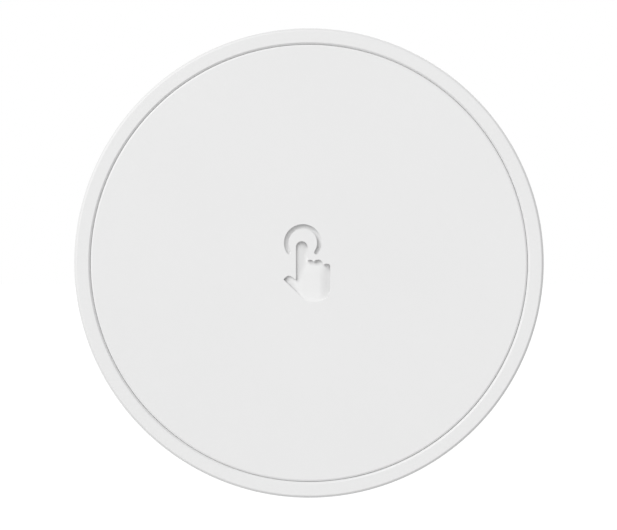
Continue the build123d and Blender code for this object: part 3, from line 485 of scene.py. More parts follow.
def cast_of(node_name, width, segments=2):
    """A merged copy of a CAD node with whole flat faces and softened edges, in millimetres."""
    piece = bpy.data.objects.new(node_name + "_cast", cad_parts[node_name].data.copy())
    bpy.context.collection.objects.link(piece)
    piece.data.materials.clear()
    piece.data.transform(Matrix.Scale(MM, 4))
    pick(piece)
    bpy.ops.mesh.customdata_custom_splitnormals_clear()
    with editing(piece, "VERT", everything=True):
        bpy.ops.mesh.remove_doubles(threshold=0.001)
        bpy.ops.mesh.dissolve_limited(angle_limit=math.radians(1.0))
        face_outwards()
    return soften(piece, width, segments=segments)


def paint(piece, base, *patches):
    """Gives the piece one finish, and others to the faces that pass a test of (middle, normal)."""
    piece.data.materials.clear()
    piece.data.materials.append(SURFACES[base])
    for index, (name, test) in enumerate(patches, 1):
        piece.data.materials.append(SURFACES[name])
        for face in piece.data.polygons:
            if test(face.center, face.normal):
                face.material_index = index
    return piece


def finish(piece, name, surface, slot, *nodes, body="core", angle=30.0):
    """Scales a piece to metres, smooths it and hands it to the frame. Without a surface it keeps its paint."""
    if surface:
        paint(piece, surface)
    piece.name = name
    piece.data.name = name
    piece.data.transform(Matrix.Scale(1 / MM, 4))
    pick(piece)
    bpy.ops.object.shade_smooth_by_angle(angle=math.radians(angle))
    modify(piece, "WEIGHTED_NORMAL", keep_sharp=True, weight=100)
    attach(piece, body)
    if nodes:
        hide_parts(*nodes)
    return piece


def tinned(piece, name, angle=30.0):
    """Finishes solder, and the tinned feet, ends and legs of what is soldered to the board."""
    return finish(piece, name, "tinned_copper", "tinned_steel", angle=angle)


# Materials


def node(tree, kind, sockets=None, **options):
    """Adds a node, sets its options and fills its sockets with values, outputs or nodes' first outputs."""
    made = tree.nodes.new("ShaderNode" + kind)
    for option, value in options.items():
        setattr(made, option, value)
    for name, value in (sockets or {}).items():
        if isinstance(value, bpy.types.Node):
            value = value.outputs[0]
        if isinstance(value, bpy.types.NodeSocket):
            tree.links.new(value, made.inputs[name])
        else:
            made.inputs[name].default_value = value
    return made


def new_material(name, colour, roughness, **uniform):
    """A material with one principled shader: (material, tree, shader, place on the piece in metres)."""
    surface = bpy.data.materials.new(name)
    surface.use_nodes = True
    tree = surface.node_tree
    shader = tree.nodes["Principled BSDF"]
    shader.inputs["Base Color"].default_value = (*colour, 1)
    shader.inputs["Roughness"].default_value = roughness
    for socket, value in uniform.items():
        shader.inputs[socket.replace("_", " ")].default_value = value
    return surface, tree, shader, node(tree, "TexCoord").outputs["Object"]


def relieve(tree, shader, height, strength, depth, wear, smoothest, roughest):
    """Lets one pattern stand out as relief and another change the gloss."""
    bump = node(tree, "Bump", {"Height": height, "Strength": strength, "Distance": depth})
    gloss = node(tree, "MapRange", {"Value": wear, "To Min": smoothest, "To Max": roughest})
    tree.links.new(gloss.outputs[0], shader.inputs["Roughness"])
    tree.links.new(bump.outputs[0], shader.inputs["Normal"])


def moulded(name, colour, roughness, grain=0.00016, depth=0.000004, cloud=0.015, **uniform):
    """Injection-moulded plastic: a fine spark-eroded texture, with faint clouds in tone and gloss."""
    surface, tree, shader, place = new_material(name, colour, roughness, **uniform)
    texture = node(tree, "TexNoise", {"Vector": place, "Scale": 1 / grain, "Detail": 2.0})
    clouds = node(tree, "TexNoise", {"Vector": place, "Scale": 60.0, "Detail": 3.0})
    darker = tuple(value * (1 - cloud) for value in colour)
    lighter = tuple(min(1.0, value * (1 + cloud)) for value in colour)
    tone = node(tree, "Mix", {0: clouds, 6: (*darker, 1), 7: (*lighter, 1)}, data_type="RGBA")
    tree.links.new(tone.outputs[2], shader.inputs["Base Color"])
    relieve(tree, shader, texture, 0.5, depth, clouds, roughness - 0.04, roughness + 0.04)
    return surface


def turned_metal(name, colour, roughness, line=0.00012):
    """Metal from a lathe: fine rings round the axis that catch the light."""
    surface, tree, shader, here = new_material(name, colour, roughness, Metallic=1.0)
    across = node(tree, "VectorMath", {0: here, 1: (1, 0, 1)}, operation="MULTIPLY")
    reach = node(tree, "VectorMath", {0: across}, operation="LENGTH").outputs["Value"]
    along = node(tree, "SeparateXYZ", {0: here}).outputs["Y"]
    ring = node(tree, "CombineXYZ", {0: reach, 1: along})
    lines = node(tree, "TexNoise", {"Vector": ring, "Scale": 1 / line, "Detail": 2.0})
    relieve(tree, shader, lines, 0.4, 0.000003, lines, roughness - 0.06, roughness + 0.08)
    return surface


def rolled_metal(name, colour, roughness, stretch=(1.0, 1.0, 12.0), grain=0.0004):
    """Rolled or drawn sheet metal: faint streaks one way and small changes of gloss."""
    surface, tree, shader, here = new_material(name, colour, roughness, Metallic=1.0)
    place = node(tree, "Mapping", {"Vector": here, "Scale": tuple(1 / value for value in stretch)})
    streaks = node(tree, "TexNoise", {"Vector": place, "Scale": 1 / grain, "Detail": 3.0})
    relieve(tree, shader, streaks, 0.25, 0.000003, streaks, roughness - 0.07, roughness + 0.1)
    return surface


SURFACES = {}
NO_STREAKS = {"stretch": (1.0, 1.0, 1.0)}
SMOOTH_FILM = {"grain": 0.0008, "depth": 0.000002}
LACQUER = {"grain": 0.0005, "depth": 0.000004}
GRITTY = {"grain": 0.0002, "depth": 0.00001, "cloud": 0.1}


def make_surfaces(scene):
    """Every finish on the part, by name."""
    white = tuple(scene.thermostat_shell.colour)
    face_white = tuple(scene.thermostat_face.colour)
    mould = {"grain": scene.thermostat_shell.grain}
    waxy = {"Subsurface_Weight": 0.15, "Subsurface_Scale": 0.0008}
    milky = {"Subsurface_Weight": 0.3, "Subsurface_Scale": 0.001}
    rows = (  # (recipe, name, colour, roughness, what differs from the recipe)
        # Fine matt white ABS: even and soft, with no sharp reflections
        (moulded, "moulded_white_abs", white, 0.5, mould),
        # The button is the same white, a touch smoother from handling
        (moulded, "white_button_abs", face_white, 0.47, mould),
        # Soft silicone: milky, lets a little light in
        (moulded, "milky_silicone", "#DEDEDA", 0.55, {"cloud": 0.03, **milky}),
        # Satin nickel over turned brass: warm grey with fine rings
        (turned_metal, "nickelled_brass", "#A19D95", 0.26, {}),
        # Black glass-filled nylon: dull, with a slightly mottled skin
        (moulded, "glass_filled_nylon", "#2B2C2E", 0.56, {"grain": 0.0003, "depth": 0.00001, "cloud": 0.12}),
        # Dark grey ABS of the inner frame: satin, and lighter than the nylon beside it
        (moulded, "grey_frame_abs", "#4A4C4F", 0.5, {"grain": 0.00025, "cloud": 0.05}),
        # Natural acetal: waxy off-white that glows a little
        (moulded, "natural_acetal", "#E9E5D8", 0.36, {"grain": 0.0004, "cloud": 0.02, **waxy}),
        # Black acetal: smoother than the nylon, with a soft waxy sheen
        (moulded, "black_acetal", "#232324", 0.34, {"grain": 0.0004, "cloud": 0.05}),
        # Ground steel pins and pads: bright, with fine rings
        (turned_metal, "ground_steel", "#C6C7C8", 0.2, {}),
        # Bright zinc on small screws, slightly blue
        (turned_metal, "zinc_plated_steel", "#C3C8CE", 0.3, {}),
        # The motor's plated, deep-drawn can: streaks along the draw
        (rolled_metal, "plated_can", "#C4C4C2", 0.3, {"stretch": (1.0, 14.0, 1.0)}),
        # Cream nylon of the motor's cap: a warm half-gloss beside the metal
        (moulded, "cream_nylon", "#DDD8CA", 0.45, {"cloud": 0.03}),
        # PVC insulation: plain red and black with a soft highlight along the lead
        (moulded, "red_insulation", "#A8261E", 0.42, {}),
        (moulded, "black_insulation", "#232323", 0.42, {}),
        # Printed film shrunk round the cells: smooth and glossy, green with a pale grey end
        (moulded, "green_cell_film", "#2E6E50", 0.24, SMOOTH_FILM),
        (moulded, "grey_cell_film", "#CDD0D1", 0.24, SMOOTH_FILM),
        # White ink: flat and bright, thin on what it is printed on
        (moulded, "white_print", "#F2F2F0", 0.3, {}),
        # Bare nickelled steel at the cells' ends: bright and even
        (rolled_metal, "cell_steel", "#CACACB", 0.26, NO_STREAKS),
        # Nickelled spring bronze, with a warm cast
        (rolled_metal, "spring_bronze", "#CFC4AA", 0.28, {}),
        # Green lacquer over glass cloth: deep green, glossy, slightly uneven
        (moulded, "solder_mask", "#14562F", 0.3, {**LACQUER, "cloud": 0.06}),
        # The same lacquer where it lies on copper is lighter
        (moulded, "masked_copper", "#1F7A45", 0.28, {**LACQUER, "cloud": 0.05}),
        # Black lacquer on the radio's board: hides the cloth and the tracks
        (moulded, "black_mask", "#1B1C20", 0.3, {**LACQUER, "cloud": 0.08}),
        # Where the laminate is cut it shows its glass cloth and resin
        (moulded, "bare_laminate", "#B7B187", 0.6, GRITTY),
        # Tin over copper, and solder: silvery and soft
        (rolled_metal, "tinned_copper", "#C9CBCC", 0.25, NO_STREAKS),
        # Thin gold over copper: the yellow of vias, pads and aerial
        (rolled_metal, "gilt_copper", "#D9B56C", 0.22, NO_STREAKS),
        # Moulded epoxy of the chips: dull black with a fine sandy skin
        (moulded, "chip_epoxy", "#26272A", 0.6, {"grain": 0.00008, "depth": 0.000006, "cloud": 0.05}),
        # Rolled tinplate of shields and lids: silvery with faint streaks
        (rolled_metal, "tinned_steel", "#C6C8C9", 0.3, {}),
        # Black nylon of the switch: plain and satin
        (moulded, "switch_black", "#2A2A2C", 0.45, {}),
        # Clear yellowish resin of the lights: glossy, and light passes a little way in
        (moulded, "led_resin", "#EEE6B8", 0.15, {"Transmission_Weight": 0.35, "Subsurface_Weight": 0.1}),
        # Pressed ferrite: dark grey, dull and slightly grainy
        (moulded, "ferrite", "#4B4C4F", 0.62, GRITTY),
        # Ochre resin of the moulded capacitor: warm, satin
        (moulded, "ochre_resin", "#C79A3E", 0.4, {"cloud": 0.04}),
        # Fired brown ceramic of the small capacitors: matt
        (moulded, "brown_ceramic", "#A5845C", 0.5, {"cloud": 0.06}),
        # Black glass over the small resistors: smooth
        (moulded, "resistor_black", "#1E1F22", 0.35, {}),
    )
    for make, name, colour, roughness, options in rows:
        base = linear(colour) if isinstance(colour, str) else colour
        SURFACES[name] = make(name, base, roughness, **options)


# The finishes of the CAD nodes that show as they are
NODE_FINISHES = {
    "natural_acetal": ("motor_pinion", "reduction_gear_1", "reduction_gear_2", "reduction_gear_3", "output_gear"),
    "ground_steel": ("gear_axles", "thrust_washer", "motor_shaft"),
}


class THERMOSTAT_OT_finishes(bpy.types.Operator):
    """Makes the finishes and gives the CAD nodes that stay in sight their own"""

    bl_idname = "thermostat.finishes"
    bl_label = "Finishes"

    def execute(self, context):
        make_surfaces(context.scene)
        for surface, names in NODE_FINISHES.items():
            for name in names:
                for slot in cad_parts[name].material_slots:
                    slot.material = SURFACES[surface]
        return {"FINISHED"}


# The tap sign, in millimetres right of and above the disc's middle
RING_MIDDLE = (-0.69, 2.22)
RING_RADIUS = 1.83
RING_WIDTH = 0.50
RING_ENDS = (-34.2, 213.8)  # degrees from +X, over the top
SIGN_REACH = 6.0  # all of the sign lies within this of the middle
FINGER_LEFT = -1.45
THUMB_TIP = Vector((-2.84, -1.82))
INWARDS = Vector((0.69, 0.724))  # at right angles to the line from the thumb to the palm's foot
HAND = (
    # (x, z, rounding) up the finger's left side, over the knuckles, round the palm and along the thumb
    (FINGER_LEFT, -1.86, 0.0), (FINGER_LEFT, 2.41, 0.64), (-0.16, 2.41, 0.64), (-0.16, 0.26, 0.0),
    (0.02, 0.36, 0.08), (0.36, 0.34, 0.12), (0.53, 0.12, 0.0), (0.74, 0.36, 0.14),
    (1.30, 0.38, 0.25), (1.62, -0.20, 0.0), (1.80, -0.07, 0.1), (2.36, -0.09, 0.32),
    (2.36, -3.68, 0.7), (1.20, -4.30, 0.55), (-0.26, -4.30, 0.55), (*THUMB_TIP, 0.1),
    (-2.42, -1.38, 0.28), (-1.98, -1.45, 0.2),
)
# Where the hand is divided, so that its floor can curve
HAND_CUTS_X = (-1.2, -0.95, -0.7, -0.5, -0.3, 1.1, 1.4, 1.7, 1.95, 2.15)
HAND_CUTS_Z = (1.6, 1.0, 0.6, 0.3, 0.0, -0.3, -0.6, -0.9, -1.2, -1.5, -1.8, -3.1, -3.8, -3.95, -4.1, -4.2)
HAND_CUTS_INWARDS = (0.12, 0.25, 0.5)


def share_between(value, low, high):
    """How far a value has come from one limit to the other, from 0 to 1."""
    return min(1.0, max(0.0, (value - low) / (high - low)))


def hand_floor(x, z, deepest):
    """How deep the hand's floor lies, as the photograph's shading suggests."""
    finger = share_between(z, -1.2, 0.6)
    fall = min(0.5 + 0.79 * finger, max(0.0, x - FINGER_LEFT))
    share = 0.5 + 0.47 * fall  # falling to the right in the finger
    share += 0.5 * max(0.0, fall - 0.75) * share_between(z, 0.3, 0.9)  # and steeper above the knuckles
    share += 0.3 * share_between(-x, 0.95, 1.45) * share_between(-z, 1.2, 1.8)  # deeper in the thumb
    share += 0.14 * max(0.0, z - 1.0)  # and in the fingertip
    share += 0.55 * max(0.0, x - 1.1) ** 2 * max(0.3, share_between(-z, -0.4, 0.8))  # and at the palm's right
    share -= 0.12 * max(0.0, -1.2 - z)  # less deep down the palm
    from_edge = (Vector((x, z)) - THUMB_TIP).dot(INWARDS)
    close = 1.0 - share_between(from_edge, 0.0, 0.5)
    share += 0.25 * close ** 2 * share_between(z, -3.8, -3.1)  # deeper along the slanting edge
    return deepest * share * (1.0 - 0.9 * share_between(-z, 3.8, 4.3))  # rising to the palm's foot


def ring_floor(x, z, deepest):
    """How deep the ring's floor lies: on the left it falls inwards, and on the right it lies deeper."""
    across = x - RING_MIDDLE[0]
    reach = math.hypot(across, z - RING_MIDDLE[1])
    turned = across / reach
    share = 1.05 + 0.2 * turned - 0.8 * min(0.0, turned) * (RING_RADIUS - reach)
    if turned > 0:
        share *= 1.0 - 0.3 * share_between(-z, -1.6, -1.0)
    return deepest * share


def sunk(outline, floor, deepest):
    """Turns a flat outline into a solid that stands through the face's front, down to a curved floor."""
    outline.data.transform(Matrix.Translation((0, -FACE_FRONT - 0.5, 0)))
    with editing(outline, "FACE", everything=True):
        bpy.ops.mesh.quads_convert_to_tris()
        bpy.ops.mesh.extrude_region_move(TRANSFORM_OT_translate={"value": (0, 1, 0)})
    for vertex in outline.data.vertices:
        if vertex.co.y > -FACE_FRONT:
            vertex.co.y = -FACE_FRONT + floor(vertex.co.x, vertex.co.z, deepest)
    return tidy(outline)


def ring_cutter(depth):
    """A ring arc with round ends, standing through the face's front."""
    first, last = RING_ENDS
    x, z = RING_MIDDLE
    half = RING_WIDTH / 2
    points = arc_points(RING_RADIUS + half, first, last, 64, x, z)
    for end, turn in ((last, 0), (first, 180)):
        end_x, end_z = arc_points(RING_RADIUS, end, end, 1, x, z)[0]
        points += arc_points(half, end + turn, end + turn + 180, 8, end_x, end_z)[1:-1]
        if end == last:
            points += arc_points(RING_RADIUS - half, last, first, 64, x, z)
    return sunk(flat_outline([(*point, 0.0) for point in points]), ring_floor, depth)


def hand_cutter(depth):
    """The pointing hand, standing through the face's front."""
    hand = flat_outline(HAND, fillet_steps=8)
    lines = [((x, 0, 0), (1, 0, 0)) for x in HAND_CUTS_X] + [((0, 0, z), (0, 0, 1)) for z in HAND_CUTS_Z]
    for distance in HAND_CUTS_INWARDS:
        place = THUMB_TIP + INWARDS * distance
        lines.append(((place.x, 0, place.y), (INWARDS.x, 0, INWARDS.y)))
    with editing(hand, "FACE"):
        for place, across in lines:
            bpy.ops.mesh.select_all(action="SELECT")
            bpy.ops.mesh.bisect(plane_co=place, plane_no=across)
    return sunk(hand, hand_floor, depth)


class THERMOSTAT_OT_push_face(bpy.types.Operator):
    """The round button with its sunken tap sign, a post over the switch, ribs and snap hooks"""

    bl_idname = "thermostat.push_face"
    bl_label = "Pushed face"

    def execute(self, context):
        settings = context.scene.thermostat_face
        depth = settings.sign_depth * MM
        front = -FACE_FRONT
        face = rod(FACE_LIP, FACE_BACK, FACE_FRONT, sides=ROUND_STEPS)
        with editing(face, "FACE") as mesh:
            choose(face, mesh.faces, lambda f: f.normal.y < -0.9)
            bpy.ops.mesh.inset(thickness=settings.edge_slope * MM, depth=0)
        for vertex in face.data.vertices:
            if vertex.co.y < front + NEAR and math.hypot(vertex.co.x, vertex.co.z) > FACE_LIP - NEAR:
                vertex.co.y = front + FACE_EDGE_DROP
        cut(face, ring_cutter(depth), hand_cutter(depth))

        def on_sign_edge(edge):
            flat = all(v.co.y < front + 0.001 for v in edge.verts)
            inside = all(math.hypot(v.co.x, v.co.z) < SIGN_REACH for v in edge.verts)
            return flat and inside and any(abs(f.normal.y) < 0.5 for f in edge.link_faces)

        bevel_chosen(face, on_sign_edge, settings.sign_edge * MM)
        stem = LEDGE_BORE - 0.15
        hook_front = LEDGE_START - 0.05
        root = FACE_BACK + 0.3
        post = rod(POST_RADIUS, FACE_BACK - 0.6, root)
        bevel_chosen(post, lambda edge: all(v.co.y > -FACE_BACK + 0.5 for v in edge.verts), 0.15)
        rib = block(stem - 3.4, 1.0, FACE_BACK - 0.4, root, (stem + 2.4) / 2 - 0.45)
        rib.data.transform(axis_turn(30))
        fuse(face, post, turned_copies(rib, 6))
        wall, catch, spread = 0.9, 0.75, 26
        hook_end = hook_front - 0.9

        def on_barb_corner(edge):
            return all(v.co.y > -hook_end - 0.1 and math.hypot(v.co.x, v.co.z) > stem + 0.7 for v in edge.verts)

        for angle in THIRDS:
            hook = wedge(stem, stem - wall, angle, spread, hook_end, root)
            barb = wedge(stem + catch, stem - 0.3, angle, spread - 0.2, hook_end, hook_front)
            fuse(face, fuse(hook, bevel_chosen(barb, on_barb_corner, 0.6, segments=1)))
        finish(face, "push_button", "white_button_abs", "white_face_plastic", "push_face", body="face")
        return {"FINISHED"}


class THERMOSTAT_OT_sleeve(bpy.types.Operator):
    """The pull-off sleeve with its ledge, key and fingernail notch"""

    bl_idname = "thermostat.sleeve"
    bl_label = "Outer sleeve"

    def execute(self, context):
        sleeve = lathe((
            (BODY_RADIUS, FACE_FRONT - RIM_SLOPE, 0.07), (BODY_RADIUS - RIM_SLOPE, FACE_FRONT, 0.07),
            (SLEEVE_BORE + GROOVE_SLOPE, FACE_FRONT, 0.04), (SLEEVE_BORE, FACE_FRONT - GROOVE_DEPTH),
            (SLEEVE_BORE, LEDGE_END), (LEDGE_BORE, LEDGE_END, 0.1),
            (LEDGE_BORE, LEDGE_START, 0.3), (SLEEVE_BORE, LEDGE_START, 0.2),
            (SLEEVE_BORE, SLEEVE_BACK + 0.25, 0.1), (SLEEVE_BORE + 0.25, SLEEVE_BACK, 0.1),
            (BODY_RADIUS, SLEEVE_BACK, 0.2),
        ), fillet_steps=6)
        key = soften(block(KEY_WIDTH, 1.9, SLEEVE_BACK, LEDGE_START + 0.5, z=0.05 - SLEEVE_BORE), 0.2)
        notch = block(8.0, 2.2, SLEEVE_BACK - 1.0, SLEEVE_BACK + 1.0, z=-BODY_RADIUS)

        def on_notch_corner(edge):
            upright = abs(edge.verts[0].co.x - edge.verts[1].co.x) < 0.1
            return upright and in_front_of(SLEEVE_BACK + 0.9)(edge)

        fuse(cut(sleeve, bevel_chosen(notch, on_notch_corner, 0.5, segments=4)), key)
        finish(sleeve, "sleeve", "moulded_white_abs", "white_shell_plastic", "outer_sleeve", body="cover")
        return {"FINISHED"}


class THERMOSTAT_OT_return_ring(bpy.types.Operator):
    """The soft ring that pushes the face out again"""

    bl_idname = "thermostat.return_ring"
    bl_label = "Return ring"

    def execute(self, context):
        outer = half_width("face_return_ring")
        inner = outer - 1.5
        ring = lathe((
            (outer, FACE_BACK, 0.35), (inner, FACE_BACK, 0.35), (inner, LEDGE_END, 0.35), (outer, LEDGE_END, 0.35)
        ), fillet_steps=5)
        finish(ring, "return_ring", "milky_silicone", "soft_silicone", "face_return_ring", body="cover")
        return {"FINISHED"}


class THERMOSTAT_OT_shell(bpy.types.Operator):
    """The rounded shoulder behind the nut, with the spigot that the sleeve slides over"""

    bl_idname = "thermostat.shell"
    bl_label = "Rear shell"

    def execute(self, context):
        inside = NOSE_DEPTH + SHELL_WALL
        shell = lathe((
            (BODY_RADIUS, SHELL_RIM, 0.15), (SPIGOT_RADIUS, SHELL_RIM, 0.1), (SPIGOT_RADIUS, SPIGOT_END, 0.4),
            (SPIGOT_BORE, SPIGOT_END, 0.15), (SPIGOT_BORE, inside + 4.0, 0.6), (SPIGOT_BORE - 4.0, inside, 0.6),
            (COLLAR_HOLE, inside, 0.15), (COLLAR_HOLE, NOSE_DEPTH, 0.25),
            (BODY_RADIUS, NOSE_DEPTH, SHOULDER_ROUND),
        ), fillet_steps=12)
        boss_end = depths("gearbox_valve_plate")[0]
        for x, z in PILLARS:
            fuse(shell, lathe((
                (BOSS_RADIUS, inside - 0.5), (BOSS_RADIUS, boss_end, 0.15),
                (BOSS_BORE, boss_end, 0.1), (BOSS_BORE, inside - 0.5),
            ), steps=48, x=x, z=z))
        pip_depth = (SHELL_RIM + SPIGOT_END) / 2
        for angle in THIRDS:
            pip = wedge(SLEEVE_BORE - 0.05, SPIGOT_RADIUS - 0.5, angle, 10, pip_depth - 0.7, pip_depth + 0.7)
            fuse(shell, soften(pip, 0.1))
        cut(shell, block(KEY_WIDTH + 0.3, 3.5, SHELL_RIM, SPIGOT_END + 1, z=-SPIGOT_RADIUS))
        tidy(shell, gap=1e-3)
        finish(shell, "shell", "moulded_white_abs", "white_shell_plastic", "rear_shell")
        return {"FINISHED"}


class THERMOSTAT_OT_nut(bpy.types.Operator):
    """The fluted union nut with its internal thread"""

    bl_idname = "thermostat.nut"
    bl_label = "Union nut"

    def execute(self, context):
        settings = context.scene.thermostat_nut
        lead_in = 0.45
        nut = lathe((
            (THREAD_ROOT + lead_in, NUT_MOUTH), (NUT_RADIUS, NUT_MOUTH, 0.5), (NUT_RADIUS, NUT_SHOULDER, 0.5),
            (NUT_RADIUS - 2.0, NUT_BACK, 0.4), (COLLAR_HOLE + 0.03, NUT_BACK, 0.2),
            (COLLAR_HOLE + 0.03, NUT_SHOULDER), (THREAD_CREST + lead_in, NUT_SHOULDER),
            (THREAD_CREST + lead_in, 0), (THREAD_ROOT, 0), (THREAD_ROOT, NUT_MOUTH + lead_in),
        ), fillet_steps=3)
        radius = settings.flute_radius * MM
        ring = NUT_RADIUS - settings.flute_depth * MM + radius
        flute = rod(radius, NUT_MOUTH - 1, NUT_BACK + 1, x=ring, sides=32)
        cut(nut, turned_copies(flute, settings.flutes))
        soften(nut, 0.15, angle=35)
        ridge = screw_ridge(THREAD_ROOT + 0.05, THREAD_CREST, VALVE_PITCH, NUT_MOUTH + 0.5, 0.0)
        tidy(fuse(nut, ridge), gap=1e-3)
        finish(nut, "nut", "nickelled_brass", "nickel_plated_brass", "union_nut", body="nut")
        return {"FINISHED"}


class THERMOSTAT_OT_mouldings(bpy.types.Operator):
    """The collar, the gearbox's plates and the core frame: black and grey mouldings with softened edges"""

    bl_idname = "thermostat.mouldings"
    bl_label = "Inner mouldings"

    def execute(self, context):
        for node_name, name, surface, slot, softening in (
            ("neck_collar", "collar", "glass_filled_nylon", "glass_filled_nylon", 0.15),
            ("gearbox_valve_plate", "valve_plate", "glass_filled_nylon", "glass_filled_nylon", 0.1),
            ("gearbox_room_plate", "room_plate", "glass_filled_nylon", "glass_filled_nylon", 0.1),
            ("core_frame", "carrier", "grey_frame_abs", "frame_plastic", 0.1),
        ):
            finish(cast_of(node_name, softening), name, surface, slot, node_name)
        return {"FINISHED"}


QUARTER_TURNS = ((1, 0), (0, 1), (-1, 0), (0, -1))  # the cosine and sine of each


def cross_screw(tip, head, top, shank, head_radius):
    """A pan-head screw on the axis, its head between two depths, with a cross recess."""
    screw = lathe((
        (0, tip), (shank * 0.72, tip, 0.1), (shank * 0.88, tip + 0.5, 0.1), (shank * 0.88, head),
        (head_radius, head, 0.08), (head_radius, top - 0.35, 0.3), (head_radius * 0.45, top, 0.4), (0, top),
    ), steps=32)
    thread_end = min(tip + 7 * shank, head - 0.2)
    ridge = screw_ridge(shank * 0.8, shank, shank * 0.7, tip + 0.2, thread_end, steps=24)
    arm = head_radius * 0.57
    half = head_radius * 0.13
    quarter = [(arm, half), (half, half), (half, arm)]
    outline = [(x * cos - z * sin, x * sin + z * cos) for cos, sin in QUARTER_TURNS for x, z in quarter]
    recess = plate(outline, top - 0.7, top + 0.5)
    for vertex in recess.data.vertices:
        if vertex.co.y > -top:
            vertex.co.x *= 0.55
            vertex.co.z *= 0.55
    return join(tidy(cut(screw, recess), gap=1e-3), ridge)


class THERMOSTAT_OT_screws(bpy.types.Operator):
    """Zinc-plated screws with cross recesses, three through the gearbox and three in the board"""

    bl_idname = "thermostat.screws"
    bl_label = "Screws"

    def execute(self, context):
        for node_name, name, tip, head, top, shank, head_radius, places in (
            ("gearbox_screws", "long_screws", 9.95, 23.4, 24.6, 1.0, 1.9, PILLARS),
            ("board_screws", "board_fixings", 75.0, BOARD_TOP, BOARD_TOP + 1.0, 0.9, 1.7, BOARD_SCREWS),
        ):
            screw = cross_screw(tip, head, top, shank, head_radius)
            screws = copies(screw, *[place_at(x, z, 25 * i) for i, (x, z) in enumerate(places, 1)])
            finish(screws, name, "zinc_plated_steel", "zinc_screw_steel", node_name)
        return {"FINISHED"}


class THERMOSTAT_OT_spindle(bpy.types.Operator):
    """The threaded spindle with its two wings, and the hard pad that pushes the valve's pin"""

    bl_idname = "thermostat.spindle"
    bl_label = "Spindle"

    def execute(self, context):
        start, end = depths("spindle")
        wing = end - 4.0
        core, crest, bore = 3.45, 3.9, 1.52
        spindle = lathe((
            (bore, start), (core, start, 0.15), (core, wing - 0.1), (crest, wing),
            (crest, end, 0.2), (0, end), (0, start + 2.4), (bore, start + 2.4),
        ), steps=72)
        fuse(spindle, soften(block(12.0, 2.4, wing, end), 0.25))
        join(spindle, screw_ridge(3.35, crest, SPINDLE_PITCH, start + 0.2, wing + 0.2, steps=48))
        finish(spindle, "threaded_spindle", "black_acetal", "spindle_acetal", "spindle", body="spindle")
        start, end = depths("spindle_tip")
        tip = lathe((
            (0, start + 0.12), (1.1, start + 0.12, 0.1), (1.5, start, 0.15), (3.4, start, 0.35),
            (3.4, start + 1.2, 0.1), (1.5, start + 1.2), (1.5, end, 0.2), (0, end),
        ), steps=72)
        finish(tip, "pin_pad", "ground_steel", "bright_steel", "spindle_tip", body="spindle")
        return {"FINISHED"}


class THERMOSTAT_OT_motor(bpy.types.Operator):
    """The motor's drawn can with vents, its end cap and its two soldered tabs"""

    bl_idname = "thermostat.motor"
    bl_label = "Motor"

    def execute(self, context):
        can = cast_of("motor_can", 0.35, segments=3)
        end = depths("motor_can")[1]
        low, high = corner_span("motor_can")
        for z in (low.z, high.z):
            for x in (-2.6, 2.6):
                cut(can, block(2.2, 1.6, end - 4.6, end - 3.4, x=x, z=z))
        for x in (low.x, high.x):
            cut(can, block(0.5, 1.6, end - 1.2, end + 0.1, x=x, z=MOTOR_Z))
        finish(can, "motor_body", "plated_can", "motor_steel", "motor_can")
        cap = cast_of("motor_end_cap", 0.25)
        end = depths("motor_end_cap")[1]
        boss = ((0, end - 0.3), (2.3, end - 0.3), (2.3, end + 0.7, 0.25), (0, end + 0.7))
        fuse(cap, lathe(boss, steps=48, z=MOTOR_Z))
        for x in (-TAB_X, TAB_X):
            fuse(cap, soften(block(1.5, 3.0, end - 0.3, end + 0.35, x=x, z=MOTOR_Z), 0.15))
        finish(cap, "motor_cap", "cream_nylon", "motor_cap_plastic", "motor_end_cap")
        finish(cast_of("motor_terminals", 0.08), "motor_tabs", "tinned_copper", "tinned_steel", "motor_terminals")
        return {"FINISHED"}


# Where each lead runs, in millimetres: (x either side of the middle, depth, z) from its tab to the board
LEAD_ROUTE = (
    (TAB_X, 47.6, MOTOR_Z), (TAB_X, 50.2, MOTOR_Z), (TAB_X, 54.64, MOTOR_Z), (2.9, 63.10, 15.7),
    (LEAD_HOLE[0], 72.16, LEAD_HOLE[1]), (LEAD_HOLE[0], 76.4, LEAD_HOLE[1]), (LEAD_HOLE[0], 78.8, LEAD_HOLE[1]),
)


class THERMOSTAT_OT_leads(bpy.types.Operator):
    """A red and a black lead from the motor's tabs to the board, with solder on the tabs"""

    bl_idname = "thermostat.leads"
    bl_label = "Motor leads"

    def execute(self, context):
        for side, colour, nodes in ((1, "red", ["motor_leads"]), (-1, "black", [])):
            route = [(side * x, depth, z) for x, depth, z in LEAD_ROUTE]
            lead = tidy(wire("lead", [route], 0.5, sides=4, smooth=True))
            finish(lead, colour + "_lead", colour + "_insulation", "lead_insulation", *nodes, angle=50)
        blobs = []
        for x in (-TAB_X, TAB_X):
            place = (x, -48.2, MOTOR_Z)
            bpy.ops.mesh.primitive_uv_sphere_add(segments=24, ring_count=12, radius=1, location=place)
            blob = bpy.context.object
            blob.scale = (0.62, 0.75, 0.85)
            blobs.append(settle(blob))
        tinned(join(*blobs), "tab_solder", angle=60)
        return {"FINISHED"}


# A cell from its flat end: (radius, distance along, rounding)
CELL_PROFILE = (
    (0, 0.25), (4.6, 0.25, 0.2), (5.2, 0.0, 0.2), (5.9, 0.0, 0.15), (6.1, 0.3), (6.3, 0.0, 0.1),
    (CELL_RADIUS, 0.05, 0.45), (CELL_RADIUS, 46.0, 0.2), (CELL_RADIUS - 0.12, 46.5, 0.3),
    (CELL_RADIUS - 0.12, 47.1, 0.3), (CELL_RADIUS, 47.6, 0.2), (CELL_RADIUS, 49.0, 0.6), (6.0, 49.05, 0.1),
    (5.8, 48.75), (3.1, 48.75, 0.3), (2.75, 49.2, 0.2), (2.75, 50.5, 0.45), (0, 50.5),
)
PLUS_AT = 40.0
MINUS_AT = 6.0


